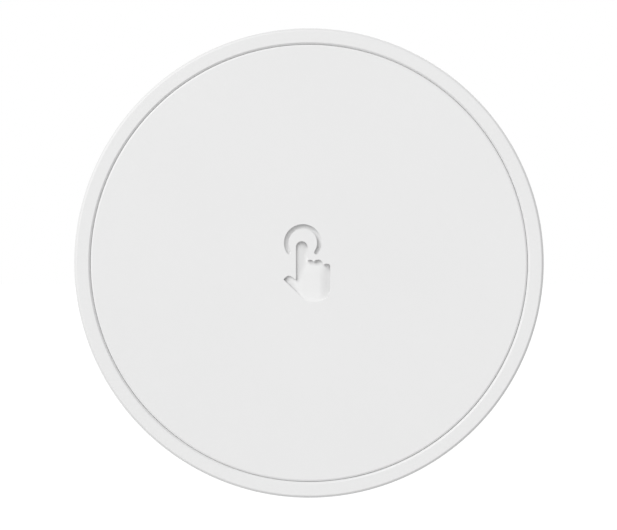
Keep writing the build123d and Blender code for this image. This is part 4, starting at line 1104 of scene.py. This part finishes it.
class THERMOSTAT_OT_cells(bpy.types.Operator):
    """Two AA cells with a shrunk film, crimped shoulders, polarity marks and bare ends"""

    bl_idname = "thermostat.cells"
    bl_label = "Battery cells"

    def execute(self, context):
        for side, hand in ((-1, "left"), (1, "right")):
            flat = depths("battery_cell_" + hand)[0 if side < 0 else 1]
            middle_x = side * CELL_X
            profile = [(radius, flat - side * distance, *rest) for radius, distance, *rest in CELL_PROFILE]
            cell = lathe(profile, steps=96, x=middle_x)

            def reach(m):
                return math.hypot(m.x - middle_x, m.z)

            def along(m):
                return side * (m.y + flat)

            paint(
                cell,
                "green_cell_film",
                ("grey_cell_film", lambda m, n: reach(m) > 5.9 and along(m) > 33.0),
                ("cell_steel", lambda m, n: reach(m) < 6.05 and along(m) < 1.0),
                ("cell_steel", lambda m, n: reach(m) < 3.2 and along(m) > 40.0),
                ("grey_cell_film", lambda m, n: 3.2 < reach(m) < 5.9 and along(m) > 40.0),
            )
            finish(cell, hand + "_cell", None, "cell_can", "battery_cell_" + hand)
            outside = middle_x + side * CELL_RADIUS
            marks = []
            for distance in (PLUS_AT, MINUS_AT):
                depth = flat - side * distance
                mark = block(4.0, 0.7, depth - 1.6, depth + 1.6, x=outside)
                if distance == PLUS_AT:
                    fuse(mark, block(4.0, 3.2, depth - 0.35, depth + 0.35, x=outside))
                skin = tube(CELL_RADIUS + PRINT, CELL_RADIUS - 0.1, depth - 2.0, depth + 2.0, 96, x=middle_x)
                marks.append(cut(mark, skin, operation="INTERSECT"))
            finish(join(*marks), hand + "_cell_marks", "white_print", "cell_can")
        return {"FINISHED"}


class THERMOSTAT_OT_contacts(bpy.types.Operator):
    """The cells' leaf springs, bridge and soldered plates"""

    bl_idname = "thermostat.contacts"
    bl_label = "Battery contacts"

    def execute(self, context):
        for node_name, name in (
            ("battery_springs", "cell_springs"),
            ("battery_bridge", "cell_bridge"),
            ("battery_terminals", "cell_plates"),
        ):
            finish(cast_of(node_name, 0.06), name, "spring_bronze", "spring_bronze", node_name)
        return {"FINISHED"}


# What lies on the circuit board, in millimetres (x, z) or (x, z, degrees), seen from the room
SMALL_CAPACITORS = (
    (11.0, 10.2, 90), (7.5, 11.3, 0), (5.8, 11.3, 0), (4.0, 9.6, 90), (0.6, 9.3, 0), (2.6, 9.3, 0),
    (-4.6, 7.2, 90), (-4.6, 9.0, 90), (-11.3, 8.2, 90), (-2.4, -8.0, 90), (-2.4, -6.2, 90), (16.9, -2.8, 90),
    (6.4, -7.4, 90), (6.4, -5.4, 90), (13.4, 10.0, 0), (-7.2, 4.4, 0), (-9.2, 4.4, 0),
)
SMALL_RESISTORS = (
    (4.0, 7.2, 90), (8.8, 3.6, 0), (6.9, 3.6, 0), (3.3, 12.5, 0), (-3.3, 12.5, 0), (3.3, -12.5, 0),
    (11.0, -13.4, 90), (11.0, -15.1, 90), (18.0, 4.9, 90), (18.0, 6.7, 90), (-16.4, 2.8, 90), (-16.4, 4.6, 90),
    (-13.6, 4.4, 0), (-2.4, -10.0, 90), (5.4, -9.9, 0),
)
TRACKS = (
    ((5.2, 6.0), (2.6, 6.0), (-0.6, 4.2), (-5.6, 3.4), (-6.8, 2.2), (-6.8, -2.3)),
    ((5.2, 6.6), (2.4, 6.6), (-0.9, 4.8), (-4.4, 4.8), (-7.6, 1.8), (-7.6, -2.3)),
    ((5.2, 9.0), (3.4, 11.0), (0.8, 11.0), (-5.0, 11.0), (-13.2, 2.8), (-13.2, -2.3)),
    ((5.2, 9.6), (3.4, 11.6), (-5.4, 11.6), (-14.0, 3.0), (-14.0, -2.3)),
    ((9.8, 9.4), (10.8, 9.4), (12.6, 11.2), (12.6, 12.4), (10.6, 14.4)),
    ((9.8, 6.9), (11.0, 6.9), (11.6, 6.9)),
    ((9.8, 5.6), (11.0, 4.4), (11.6, 4.4)),
    ((15.6, 7.5), (17.2, 7.5), (16.6, 9.6), (13.6, 12.6), (4.0, 16.4), (1.6, 17.2)),
    ((15.6, 3.7), (17.0, 3.7), (17.0, 1.2), (11.8, 0.4)),
    ((7.0, 5.2), (7.0, 4.2), (4.4, 1.6), (3.2, 1.6)),
    ((9.0, 5.2), (9.0, 1.6), (6.8, -0.6), (6.8, -4.6)),
    ((11.3, -1.2), (11.3, -3.8)),
    ((15.2, -6.0), (17.4, -6.0), (18.4, -4.0), (18.4, 3.2), (18.0, 4.0)),
    ((8.0, -6.9), (6.6, -8.3), (6.6, -10.6), (8.5, -13.2)),
    ((-4.0, -10.4), (-2.0, -10.4), (0.4, -12.2), (0.4, -12.4)),
    ((-4.0, -5.2), (-3.0, -5.2), (-0.8, -3.0)),
    ((-10.1, 8.0), (-12.4, 8.0), (-16.6, 3.8), (-16.6, 0.8), (-11.8, 0.2)),
    ((-6.0, 8.0), (-4.0, 8.0), (-2.0, 6.0), (-2.0, 3.2)),
    ((-1.6, 12.5), (-4.6, 12.5), (-6.6, 14.4)),
    ((-3.1, 1.7), (-5.6, 1.7), (-11.0, 0.9)),
    ((1.4, -12.6), (4.2, -12.6), (7.6, -16.0)),
    ((3.1, -1.7), (4.8, -3.4), (4.8, -8.6), (2.0, -11.6)),
)
VIAS = (
    (-0.6, 4.9), (-2.6, 4.9), (-4.9, 3.5), (-6.4, 11.0), (-9.4, 11.4), (-12.2, 12.6), (-14.2, 9.4), (-17.2, 7.2),
    (-18.4, 1.2), (-18.0, -3.4), (-16.6, -7.8), (-16.2, -1.0), (-13.9, -11.7), (-4.6, -15.8), (-6.8, -17.0),
    (-3.0, -17.8), (4.0, -17.6), (5.6, -14.6), (12.8, -11.4), (14.8, -9.6), (17.0, -8.0), (12.0, -1.9),
    (15.0, -0.6), (14.0, 1.2), (5.0, 3.0), (10.9, 12.0), (14.6, 12.4), (5.2, 16.6), (-4.8, 16.8), (-1.9, 15.0),
    (1.7, 14.6), (4.9, 13.4), (-0.9, 6.2), (-2.7, 9.8), (5.2, -1.2), (5.2, -3.2), (-0.9, -4.9), (1.2, -6.2),
    (2.6, -9.3), (-0.6, -9.4),
)
PRINTED_FRAMES = (  # (width, height, x, z)
    (5.9, 5.9, 7.5, 7.6), (4.7, 4.7, -8.0, 8.0), (7.9, 4.9, 11.5, -6.0),
    (3.8, 2.1, 1.6, 7.4), (2.1, 3.8, 8.5, -15.0), (11.1, 12.1, -9.2, -7.8),
)
PRINT_LINE = 0.12


class THERMOSTAT_OT_board(bpy.types.Operator):
    """The round circuit board with tracks, vias and pads under and through its green lacquer"""

    bl_idname = "thermostat.board"
    bl_label = "Circuit board"

    def execute(self, context):
        rim = half_width("circuit_board") - 0.3
        board = paint(
            cast_of("circuit_board", 0.05, segments=1),
            "solder_mask",
            ("tinned_copper", lambda m, n: abs(n.y) < 0.3),
            ("bare_laminate", lambda m, n: abs(n.y) < 0.3 and math.hypot(m.x, m.z) > rim),
        )
        finish(board, "board", None, "board_laminate", "circuit_board")
        tracks = wire("tracks", [[(x, 0, z) for x, z in points] for points in TRACKS], 0.12)
        finish(pressed(tracks, 0.3, BOARD_TOP), "tracks", "masked_copper", "board_laminate")
        via = tube(0.3, 0.14, BOARD_TOP - 0.1, BOARD_TOP + 0.03, 12)
        finish(copies(via, *[place_at(x, z) for x, z in VIAS]), "vias", "gilt_copper", "board_laminate")
        return {"FINISHED"}


class THERMOSTAT_OT_small_parts(bpy.types.Operator):
    """Small ceramic capacitors and resistors with tinned ends, on their solder"""

    bl_idname = "thermostat.small_parts"
    bl_label = "Small parts"

    def execute(self, context):
        for name, surface, rows, height in (
            ("small_capacitors", "brown_ceramic", SMALL_CAPACITORS, 0.5),
            ("small_resistors", "resistor_black", SMALL_RESISTORS, 0.35),
        ):
            top = BOARD_TOP + height
            body = block(0.62, 0.5, BOARD_TOP + 0.03, top)
            ends = pair(0.24, 0.54, BOARD_TOP, top + 0.02, 0, 0, 0.05, across=0.42, segments=1)
            solder = join(*[block(0.3, 0.5, BOARD_TOP, BOARD_TOP + 0.22, x=x) for x in (-0.62, 0.62)])
            for vertex in solder.data.vertices:
                if abs(vertex.co.x) > 0.7 and vertex.co.y < -BOARD_TOP - 0.1:
                    vertex.co.y = -BOARD_TOP - 0.03
            places = [place_at(*row) for row in rows]
            local = [place.inverted() for place in places]

            def near_end(middle, normal):
                return all(abs((matrix @ middle).x) > 0.305 or abs((matrix @ middle).z) > 0.6 for matrix in local)

            parts = paint(copies(join(body, ends, solder), *places), surface, ("tinned_copper", near_end))
            finish(parts, name, None, "chip_epoxy")
        return {"FINISHED"}


class THERMOSTAT_OT_chips(bpy.types.Operator):
    """The processor with its side pads and the motor driver with its bent legs"""

    bl_idname = "thermostat.chips"
    bl_label = "Chips"

    def execute(self, context):
        x, z, start, top = seat("processor")
        chip = soften(block(4.9, 4.9, start + 0.03, top, x, z), 0.08)
        cut(chip, rod(0.28, top - 0.05, top + 0.1, x - 1.8, z + 1.8, sides=24))
        finish(chip, "processor_chip", "chip_epoxy", "chip_epoxy", "processor")
        row = join(*[block(0.42, 0.24, start, start + 0.16, x=2.42, z=(i - 3.5) * 0.5) for i in range(8)])
        pads = copies(row, *[place_at(x, z, turn) for turn in (0, 90, 180, 270)])
        tinned(pads, "processor_pads")

        x, z, start, top = seat("motor_driver")
        chip = block(3.9, 4.9, start + 0.1, top, x, z)
        bevel_chosen(chip, in_front_of(top - NEAR), 0.25, segments=1)
        cut(chip, rod(0.3, top - 0.06, top + 0.1, x - 1.3, z + 1.8, sides=24))
        finish(chip, "driver_chip", "chip_epoxy", "chip_epoxy", "motor_driver")
        leg = plate((
            (1.9, start + 0.62), (2.3, start + 0.62, 0.08), (2.45, start + 0.14, 0.08), (2.95, start + 0.14),
            (2.95, start), (2.33, start, 0.08), (2.18, start + 0.48, 0.08), (1.9, start + 0.48),
        ), -0.2, 0.2)
        leg.data.transform(Matrix.Rotation(math.pi / 2, 4, "X"))
        for vertex in leg.data.vertices:
            vertex.co.y = -abs(vertex.co.y)
        shifts = [Matrix.Translation((0, 0, (i - 1.5) * 1.27)) for i in range(4)]
        legs = copies(leg, *[place_at(x, z, side) @ shift for side in (0, 180) for shift in shifts])
        tinned(tidy(legs, gap=1e-5), "driver_legs")
        return {"FINISHED"}


class THERMOSTAT_OT_radio(bpy.types.Operator):
    """The radio module: a small black board with half-round edge contacts, a folded aerial track and a shield"""

    bl_idname = "thermostat.radio"
    bl_label = "Radio module"

    def execute(self, context):
        x, z, start, top = seat("radio_board")
        low, high = corner_span("radio_board")
        rows = [high.z - 1.2 - i for i in range(8)]
        board = block(high.x - low.x, high.z - low.z, start, top, x, z)
        cut(board, join(*[
            rod(0.25, start - 0.1, top + 0.1, edge, row, sides=16) for row in rows for edge in (low.x, high.x)
        ]))

        def in_notch(m, n):
            at_side = min(abs(m.x - low.x), abs(m.x - high.x)) < 0.3
            return at_side and abs(n.y) < 0.3 and abs(n.x) < 0.999

        paint(board, "black_mask", ("gilt_copper", in_notch))
        finish(board, "radio_card", None, "board_laminate", "radio_board")
        columns = (low.x + 0.53, high.x - 0.53)
        pads = [block(0.55, 0.6, top, top + PRINT, column, row) for row in rows for column in columns]
        finish(join(*pads), "radio_pads", "gilt_copper", "board_laminate")
        left, foot = low.x + 0.7, low.z + 0.6
        fold = ((0, 0), (0.85, 0), (0.85, 1.6), (1.7, 1.6))
        run = [(left + i * 1.7 + across, 0, foot + up) for i in range(6) for across, up in fold]
        aerial = wire("aerial", [[(left, 0, foot + 2.4)] + run[:-2]], 0.2)
        finish(pressed(aerial, 0.15, top), "aerial_track", "gilt_copper", "board_laminate")

        x, z, start, top = seat("radio_shield")
        low, high = corner_span("radio_shield")
        shield = block(high.x - low.x, high.z - low.z, start, top, x, z)
        bevel_chosen(shield, longer_in_depth(0.5), 0.5, segments=4)
        bevel_chosen(shield, in_front_of(top - NEAR), 0.2, segments=3)
        gaps = [(edge, z + up) for up in (-2.4, 0, 2.4) for edge in (low.x, high.x)]
        cut(shield, join(*[block(0.5, 1.2, start - 0.1, start + 0.35, *gap) for gap in gaps]))
        dimples = [(x + across, z + up) for across in (-3.3, 3.3) for up in (-3.0, 3.0)]
        cut(shield, join(*[rod(0.35, top - 0.08, top + 0.1, *dimple, sides=24) for dimple in dimples]))
        finish(shield, "radio_can", "tinned_steel", "tinned_steel", "radio_shield")
        return {"FINISHED"}


class THERMOSTAT_OT_power_parts(bpy.types.Operator):
    """The shielded coil, the moulded capacitor with its stripe and the crystal in its metal can"""

    bl_idname = "thermostat.power_parts"
    bl_label = "Coil, capacitor and crystal"

    def execute(self, context):
        x, z, start, top = seat("boost_coil")
        coil = bevel_chosen(block(4.0, 4.0, start + 0.1, top, x, z), longer_in_depth(0.5), 0.7, segments=1)
        cut(coil, tube(1.55, 1.35, top - 0.5, top + 0.2, 48, x, z))
        finish(soften(coil, 0.08, angle=40), "coil", "ferrite", "ferrite", "boost_coil")
        tinned(pair(0.9, 2.6, start, start + 0.22, x, z, 0.05, across=1.7), "coil_feet")

        x, z, start, top = seat("supply_capacitor")
        body = bevel_chosen(block(7.1, 4.2, start + 0.1, top, x, z), in_front_of(top - NEAR), 0.25)
        finish(body, "storage_capacitor", "ochre_resin", "tantalum_resin", "supply_capacitor")
        stripe = soften(block(0.9, 3.7, top - 0.02, top + 0.012, x + 2.5, z), 0.008, segments=1)
        finish(stripe, "capacitor_stripe", "brown_ceramic", "tantalum_resin")
        tinned(pair(0.5, 2.4, start, start + 1.1, x, z, 0.1, across=3.42), "capacitor_ends")

        x, z, start, top = seat("crystal")
        base = soften(block(3.2, 1.5, start, start + 0.3, x, z), 0.04)
        finish(base, "crystal_base", "chip_epoxy", "chip_epoxy", "crystal")
        lid = bevel_chosen(block(2.9, 1.2, start + 0.25, top, x, z), longer_in_depth(0.2), 0.25, segments=3)
        finish(soften(lid, 0.08), "crystal_lid", "tinned_steel", "tinned_steel")
        return {"FINISHED"}


class THERMOSTAT_OT_lights_and_sensor(bpy.types.Operator):
    """The two status lights and the temperature sensor"""

    bl_idname = "thermostat.lights_and_sensor"
    bl_label = "Lights and sensor"

    def execute(self, context):
        x, z, start, top = seat("status_leds")
        bases = pair(3.0, 1.6, start, start + 0.3, x, z, 0.05, up=12.5)
        finish(bases, "status_light_bases", "cream_nylon", "led_lens")
        domes = pair(2.1, 1.5, start + 0.25, top, x, z, 0.18, up=12.5, segments=3)
        finish(domes, "status_light_lenses", "led_resin", "led_lens", "status_leds")
        x, z, start, top = seat("temperature_sensor")
        body = soften(block(1.5, 2.2, start + 0.03, top, x, z), 0.1)
        finish(body, "sensor_bead", "chip_epoxy", "chip_epoxy", "temperature_sensor")
        tinned(pair(1.6, 0.55, start, top, x, z, 0.1, up=1.32), "sensor_ends")
        return {"FINISHED"}


class THERMOSTAT_OT_switch(bpy.types.Operator):
    """The tactile switch under the middle of the face"""

    bl_idname = "thermostat.switch"
    bl_label = "Switch"

    def execute(self, context):
        start, top = depths("switch_base")
        base = soften(block(6.2, 6.2, start, top), 0.15)
        finish(base, "switch_housing", "switch_black", "switch_plastic", "switch_base")
        start, top = depths("switch_cover")
        cover = block(6.2, 6.2, start, top)
        bevel_chosen(cover, longer_in_depth(0.5), 0.35, segments=3)
        bevel_chosen(cover, in_front_of(top - NEAR), 0.2, segments=3)
        cut(cover, rod(1.83, start - 0.1, top + 0.1, sides=64))
        rivet = ((0, top - 0.1), (0.42, top - 0.1), (0.42, top + 0.12, 0.1), (0, top + 0.12))
        for x in (-2.35, 2.35):
            for z in (-2.35, 2.35):
                fuse(cover, lathe(rivet, steps=24, x=x, z=z))
        finish(cover, "switch_plate", "tinned_steel", "tinned_steel", "switch_cover")
        start, top = depths("switch_stem")
        stem = lathe(((0, start), (1.75, start, 0.1), (1.75, top, 0.25), (0, top)), steps=64)
        finish(stem, "switch_button", "switch_black", "switch_plastic", "switch_stem", body="switch_plunger")
        legs = [pair(1.0, 0.7, BOARD_TOP, BOARD_TOP + 0.2, x, 0, 0.05, up=2.25) for x in (-3.5, 3.5)]
        tinned(join(*legs), "switch_legs")
        return {"FINISHED"}


class THERMOSTAT_OT_solder_and_marks(bpy.types.Operator):
    """Solder round the tails and leads, and the white printed outlines"""

    bl_idname = "thermostat.solder_and_marks"
    bl_label = "Solder and printed marks"

    def execute(self, context):
        joints = []
        for across, z, radius in ((CELL_TAIL_X, 0.0, 1.25), (*LEAD_HOLE, 0.85)):
            profile = (
                (0, BOARD_TOP - 0.05), (radius, BOARD_TOP - 0.05), (radius, BOARD_TOP + 0.03, 0.05),
                (radius * 0.45, BOARD_TOP + 0.35, 0.25), (radius * 0.28, BOARD_TOP + 0.75, 0.15),
                (0, BOARD_TOP + 0.8),
            )
            joints += [lathe(profile, steps=32, x=x, z=z) for x in (-across, across)]
        tinned(join(*joints), "solder_joints", angle=50)

        def print_bar(width, height, x, z=0.0):
            return block(width, height, BOARD_TOP, BOARD_TOP + PRINT, x, z)

        marks = []
        for width, height, x, z in PRINTED_FRAMES:
            inside = block(width - 2 * PRINT_LINE, height - 2 * PRINT_LINE, BOARD_TOP - 1, BOARD_TOP + 1, x, z)
            marks.append(cut(print_bar(width, height, x, z), inside))
        plus = fuse(print_bar(1.3, 0.26, -14.4), print_bar(0.26, 1.3, -14.4))
        minus = print_bar(1.3, 0.26, 14.4)
        finish(join(*marks, plus, minus), "printed_marks", "white_print", "board_laminate")
        return {"FINISHED"}


class THERMOSTAT_OT_stage(bpy.types.Operator):
    """The floor, the lamps, the white surround and the camera at the photograph's view"""

    bl_idname = "thermostat.stage"
    bl_label = "Stage"

    def execute(self, context):
        scene = context.scene
        settings = scene.thermostat_stage
        self.make_floor(settings)
        self.make_world(scene, settings)
        self.make_lamps(settings)
        self.make_camera(scene, settings)
        scene.view_settings.view_transform = "Standard"
        return {"FINISHED"}

    def empty_tree(self, owner):
        """The cleared node tree of a material or a world."""
        owner.use_nodes = True
        owner.node_tree.nodes.clear()
        return owner.node_tree

    def unless_seen(self, tree, unseen, seen):
        """Mixes in the seen shader where the camera looks directly, in gloss or through glass."""
        path = node(tree, "LightPath").outputs
        either = node(tree, "Math", {0: path["Is Camera Ray"], 1: path["Is Glossy Ray"]}, operation="MAXIMUM")
        share = node(tree, "Math", {0: either, 1: path["Is Transmission Ray"]}, operation="MAXIMUM")
        return node(tree, "MixShader", {0: share, 1: unseen, 2: seen})

    def make_floor(self, settings):
        """A pale floor that shows the part's shadow, and is clear from below so that the part can be seen."""
        bpy.ops.mesh.primitive_plane_add(size=12, location=(0, 0, -settings.floor_drop))
        floor = settle(bpy.context.object)
        floor.name = "floor"
        surface = bpy.data.materials.new("pale_floor")
        tree = self.empty_tree(surface)
        plain = node(tree, "BsdfDiffuse", {"Color": (*linear("#CFCFCF"), 1)})
        seen = node(tree, "AddShader", {0: plain, 1: node(tree, "Emission", {"Strength": 0.5})})
        above = self.unless_seen(tree, plain, seen)
        underside = node(tree, "NewGeometry").outputs["Backfacing"]
        whole = node(tree, "MixShader", {0: underside, 1: above, 2: node(tree, "BsdfTransparent")})
        node(tree, "OutputMaterial", {"Surface": whole})
        floor.data.materials.append(surface)

    def make_world(self, scene, settings):
        """Soft light from all round, with plain white where the camera looks past the part."""
        scene.world = bpy.data.worlds.new("white_surround")
        tree = self.empty_tree(scene.world)
        soft = node(tree, "Background", {"Color": (1, 1, 1, 1), "Strength": settings.surround})
        white = node(tree, "Background", {"Color": (1, 1, 1, 1), "Strength": 1.0})
        node(tree, "OutputWorld", {"Surface": self.unless_seen(tree, soft, white)})

    def make_lamps(self, settings):
        """A broad lamp at the upper left in front and a softer one behind, with their spread in degrees."""
        for name, direction, strength, spread in (
            ("key", Vector((-0.435, -0.788, 0.435)), settings.key, 40.0),
            ("back", Vector((0.45, 0.7, 0.55)), settings.back, 30.0),
        ):
            bpy.ops.object.light_add(type="SUN", location=direction)
            lamp = bpy.context.object
            lamp.name = name
            lamp.data.energy = strength
            lamp.data.angle = math.radians(spread)
            lamp.rotation_euler = direction.to_track_quat("Z", "Y").to_euler()

    def make_camera(self, scene, settings):
        """A level view straight at the disc, sized so that the disc fills the photograph's share of the frame."""
        data = bpy.data.cameras.new("camera")
        data.lens = settings.lens
        camera = bpy.data.objects.new("camera", data)
        scene.collection.objects.link(camera)
        pixel = BODY_RADIUS / MM / DISC_RADIUS
        distance = settings.lens / data.sensor_width * PHOTO_WIDTH * pixel
        across = (PHOTO_WIDTH / 2 - DISC_MIDDLE[0]) * pixel
        up = (DISC_MIDDLE[1] - PHOTO_HEIGHT / 2) * pixel
        camera.location = (across, -FACE_FRONT / MM - distance, up)
        camera.rotation_euler = (math.pi / 2, 0, 0)
        data.clip_start = 0.01
        data.clip_end = 50
        scene.camera = camera


GROUPS = {
    "thermostat_face": FaceSettings,
    "thermostat_shell": ShellSettings,
    "thermostat_nut": NutSettings,
    "thermostat_stage": StageSettings,
}
OPERATORS = (
    THERMOSTAT_OT_finishes, THERMOSTAT_OT_push_face, THERMOSTAT_OT_sleeve, THERMOSTAT_OT_return_ring,
    THERMOSTAT_OT_shell, THERMOSTAT_OT_nut, THERMOSTAT_OT_mouldings, THERMOSTAT_OT_screws,
    THERMOSTAT_OT_spindle, THERMOSTAT_OT_motor, THERMOSTAT_OT_leads, THERMOSTAT_OT_cells,
    THERMOSTAT_OT_contacts, THERMOSTAT_OT_board, THERMOSTAT_OT_small_parts, THERMOSTAT_OT_chips,
    THERMOSTAT_OT_radio, THERMOSTAT_OT_power_parts, THERMOSTAT_OT_lights_and_sensor, THERMOSTAT_OT_switch,
    THERMOSTAT_OT_solder_and_marks, THERMOSTAT_OT_stage,
)


class THERMOSTAT_PT_panel(bpy.types.Panel):
    """Lists the thermostat's settings and pieces"""

    bl_idname = "THERMOSTAT_PT_panel"
    bl_label = "Thermostat"
    bl_space_type = "VIEW_3D"
    bl_region_type = "UI"
    bl_category = "Thermostat"

    def draw(self, context):
        for name in GROUPS:
            group = getattr(context.scene, name)
            box = self.layout.box()
            for setting in group.__annotations__:
                box.prop(group, setting)
        for operator in OPERATORS:
            self.layout.operator(operator.bl_idname)


CLASSES = (*GROUPS.values(), *OPERATORS, THERMOSTAT_PT_panel)


def register():
    for item in CLASSES:
        bpy.utils.register_class(item)
    for name, group in GROUPS.items():
        setattr(bpy.types.Scene, name, PointerProperty(type=group))


def unregister():
    for name in GROUPS:
        delattr(bpy.types.Scene, name)
    for item in reversed(CLASSES):
        bpy.utils.unregister_class(item)


def main():
    """Makes every piece in order."""
    register()
    for operator in OPERATORS:
        group, name = operator.bl_idname.split(".")
        getattr(getattr(bpy.ops, group), name)()


if __name__ == "__main__":
    main()
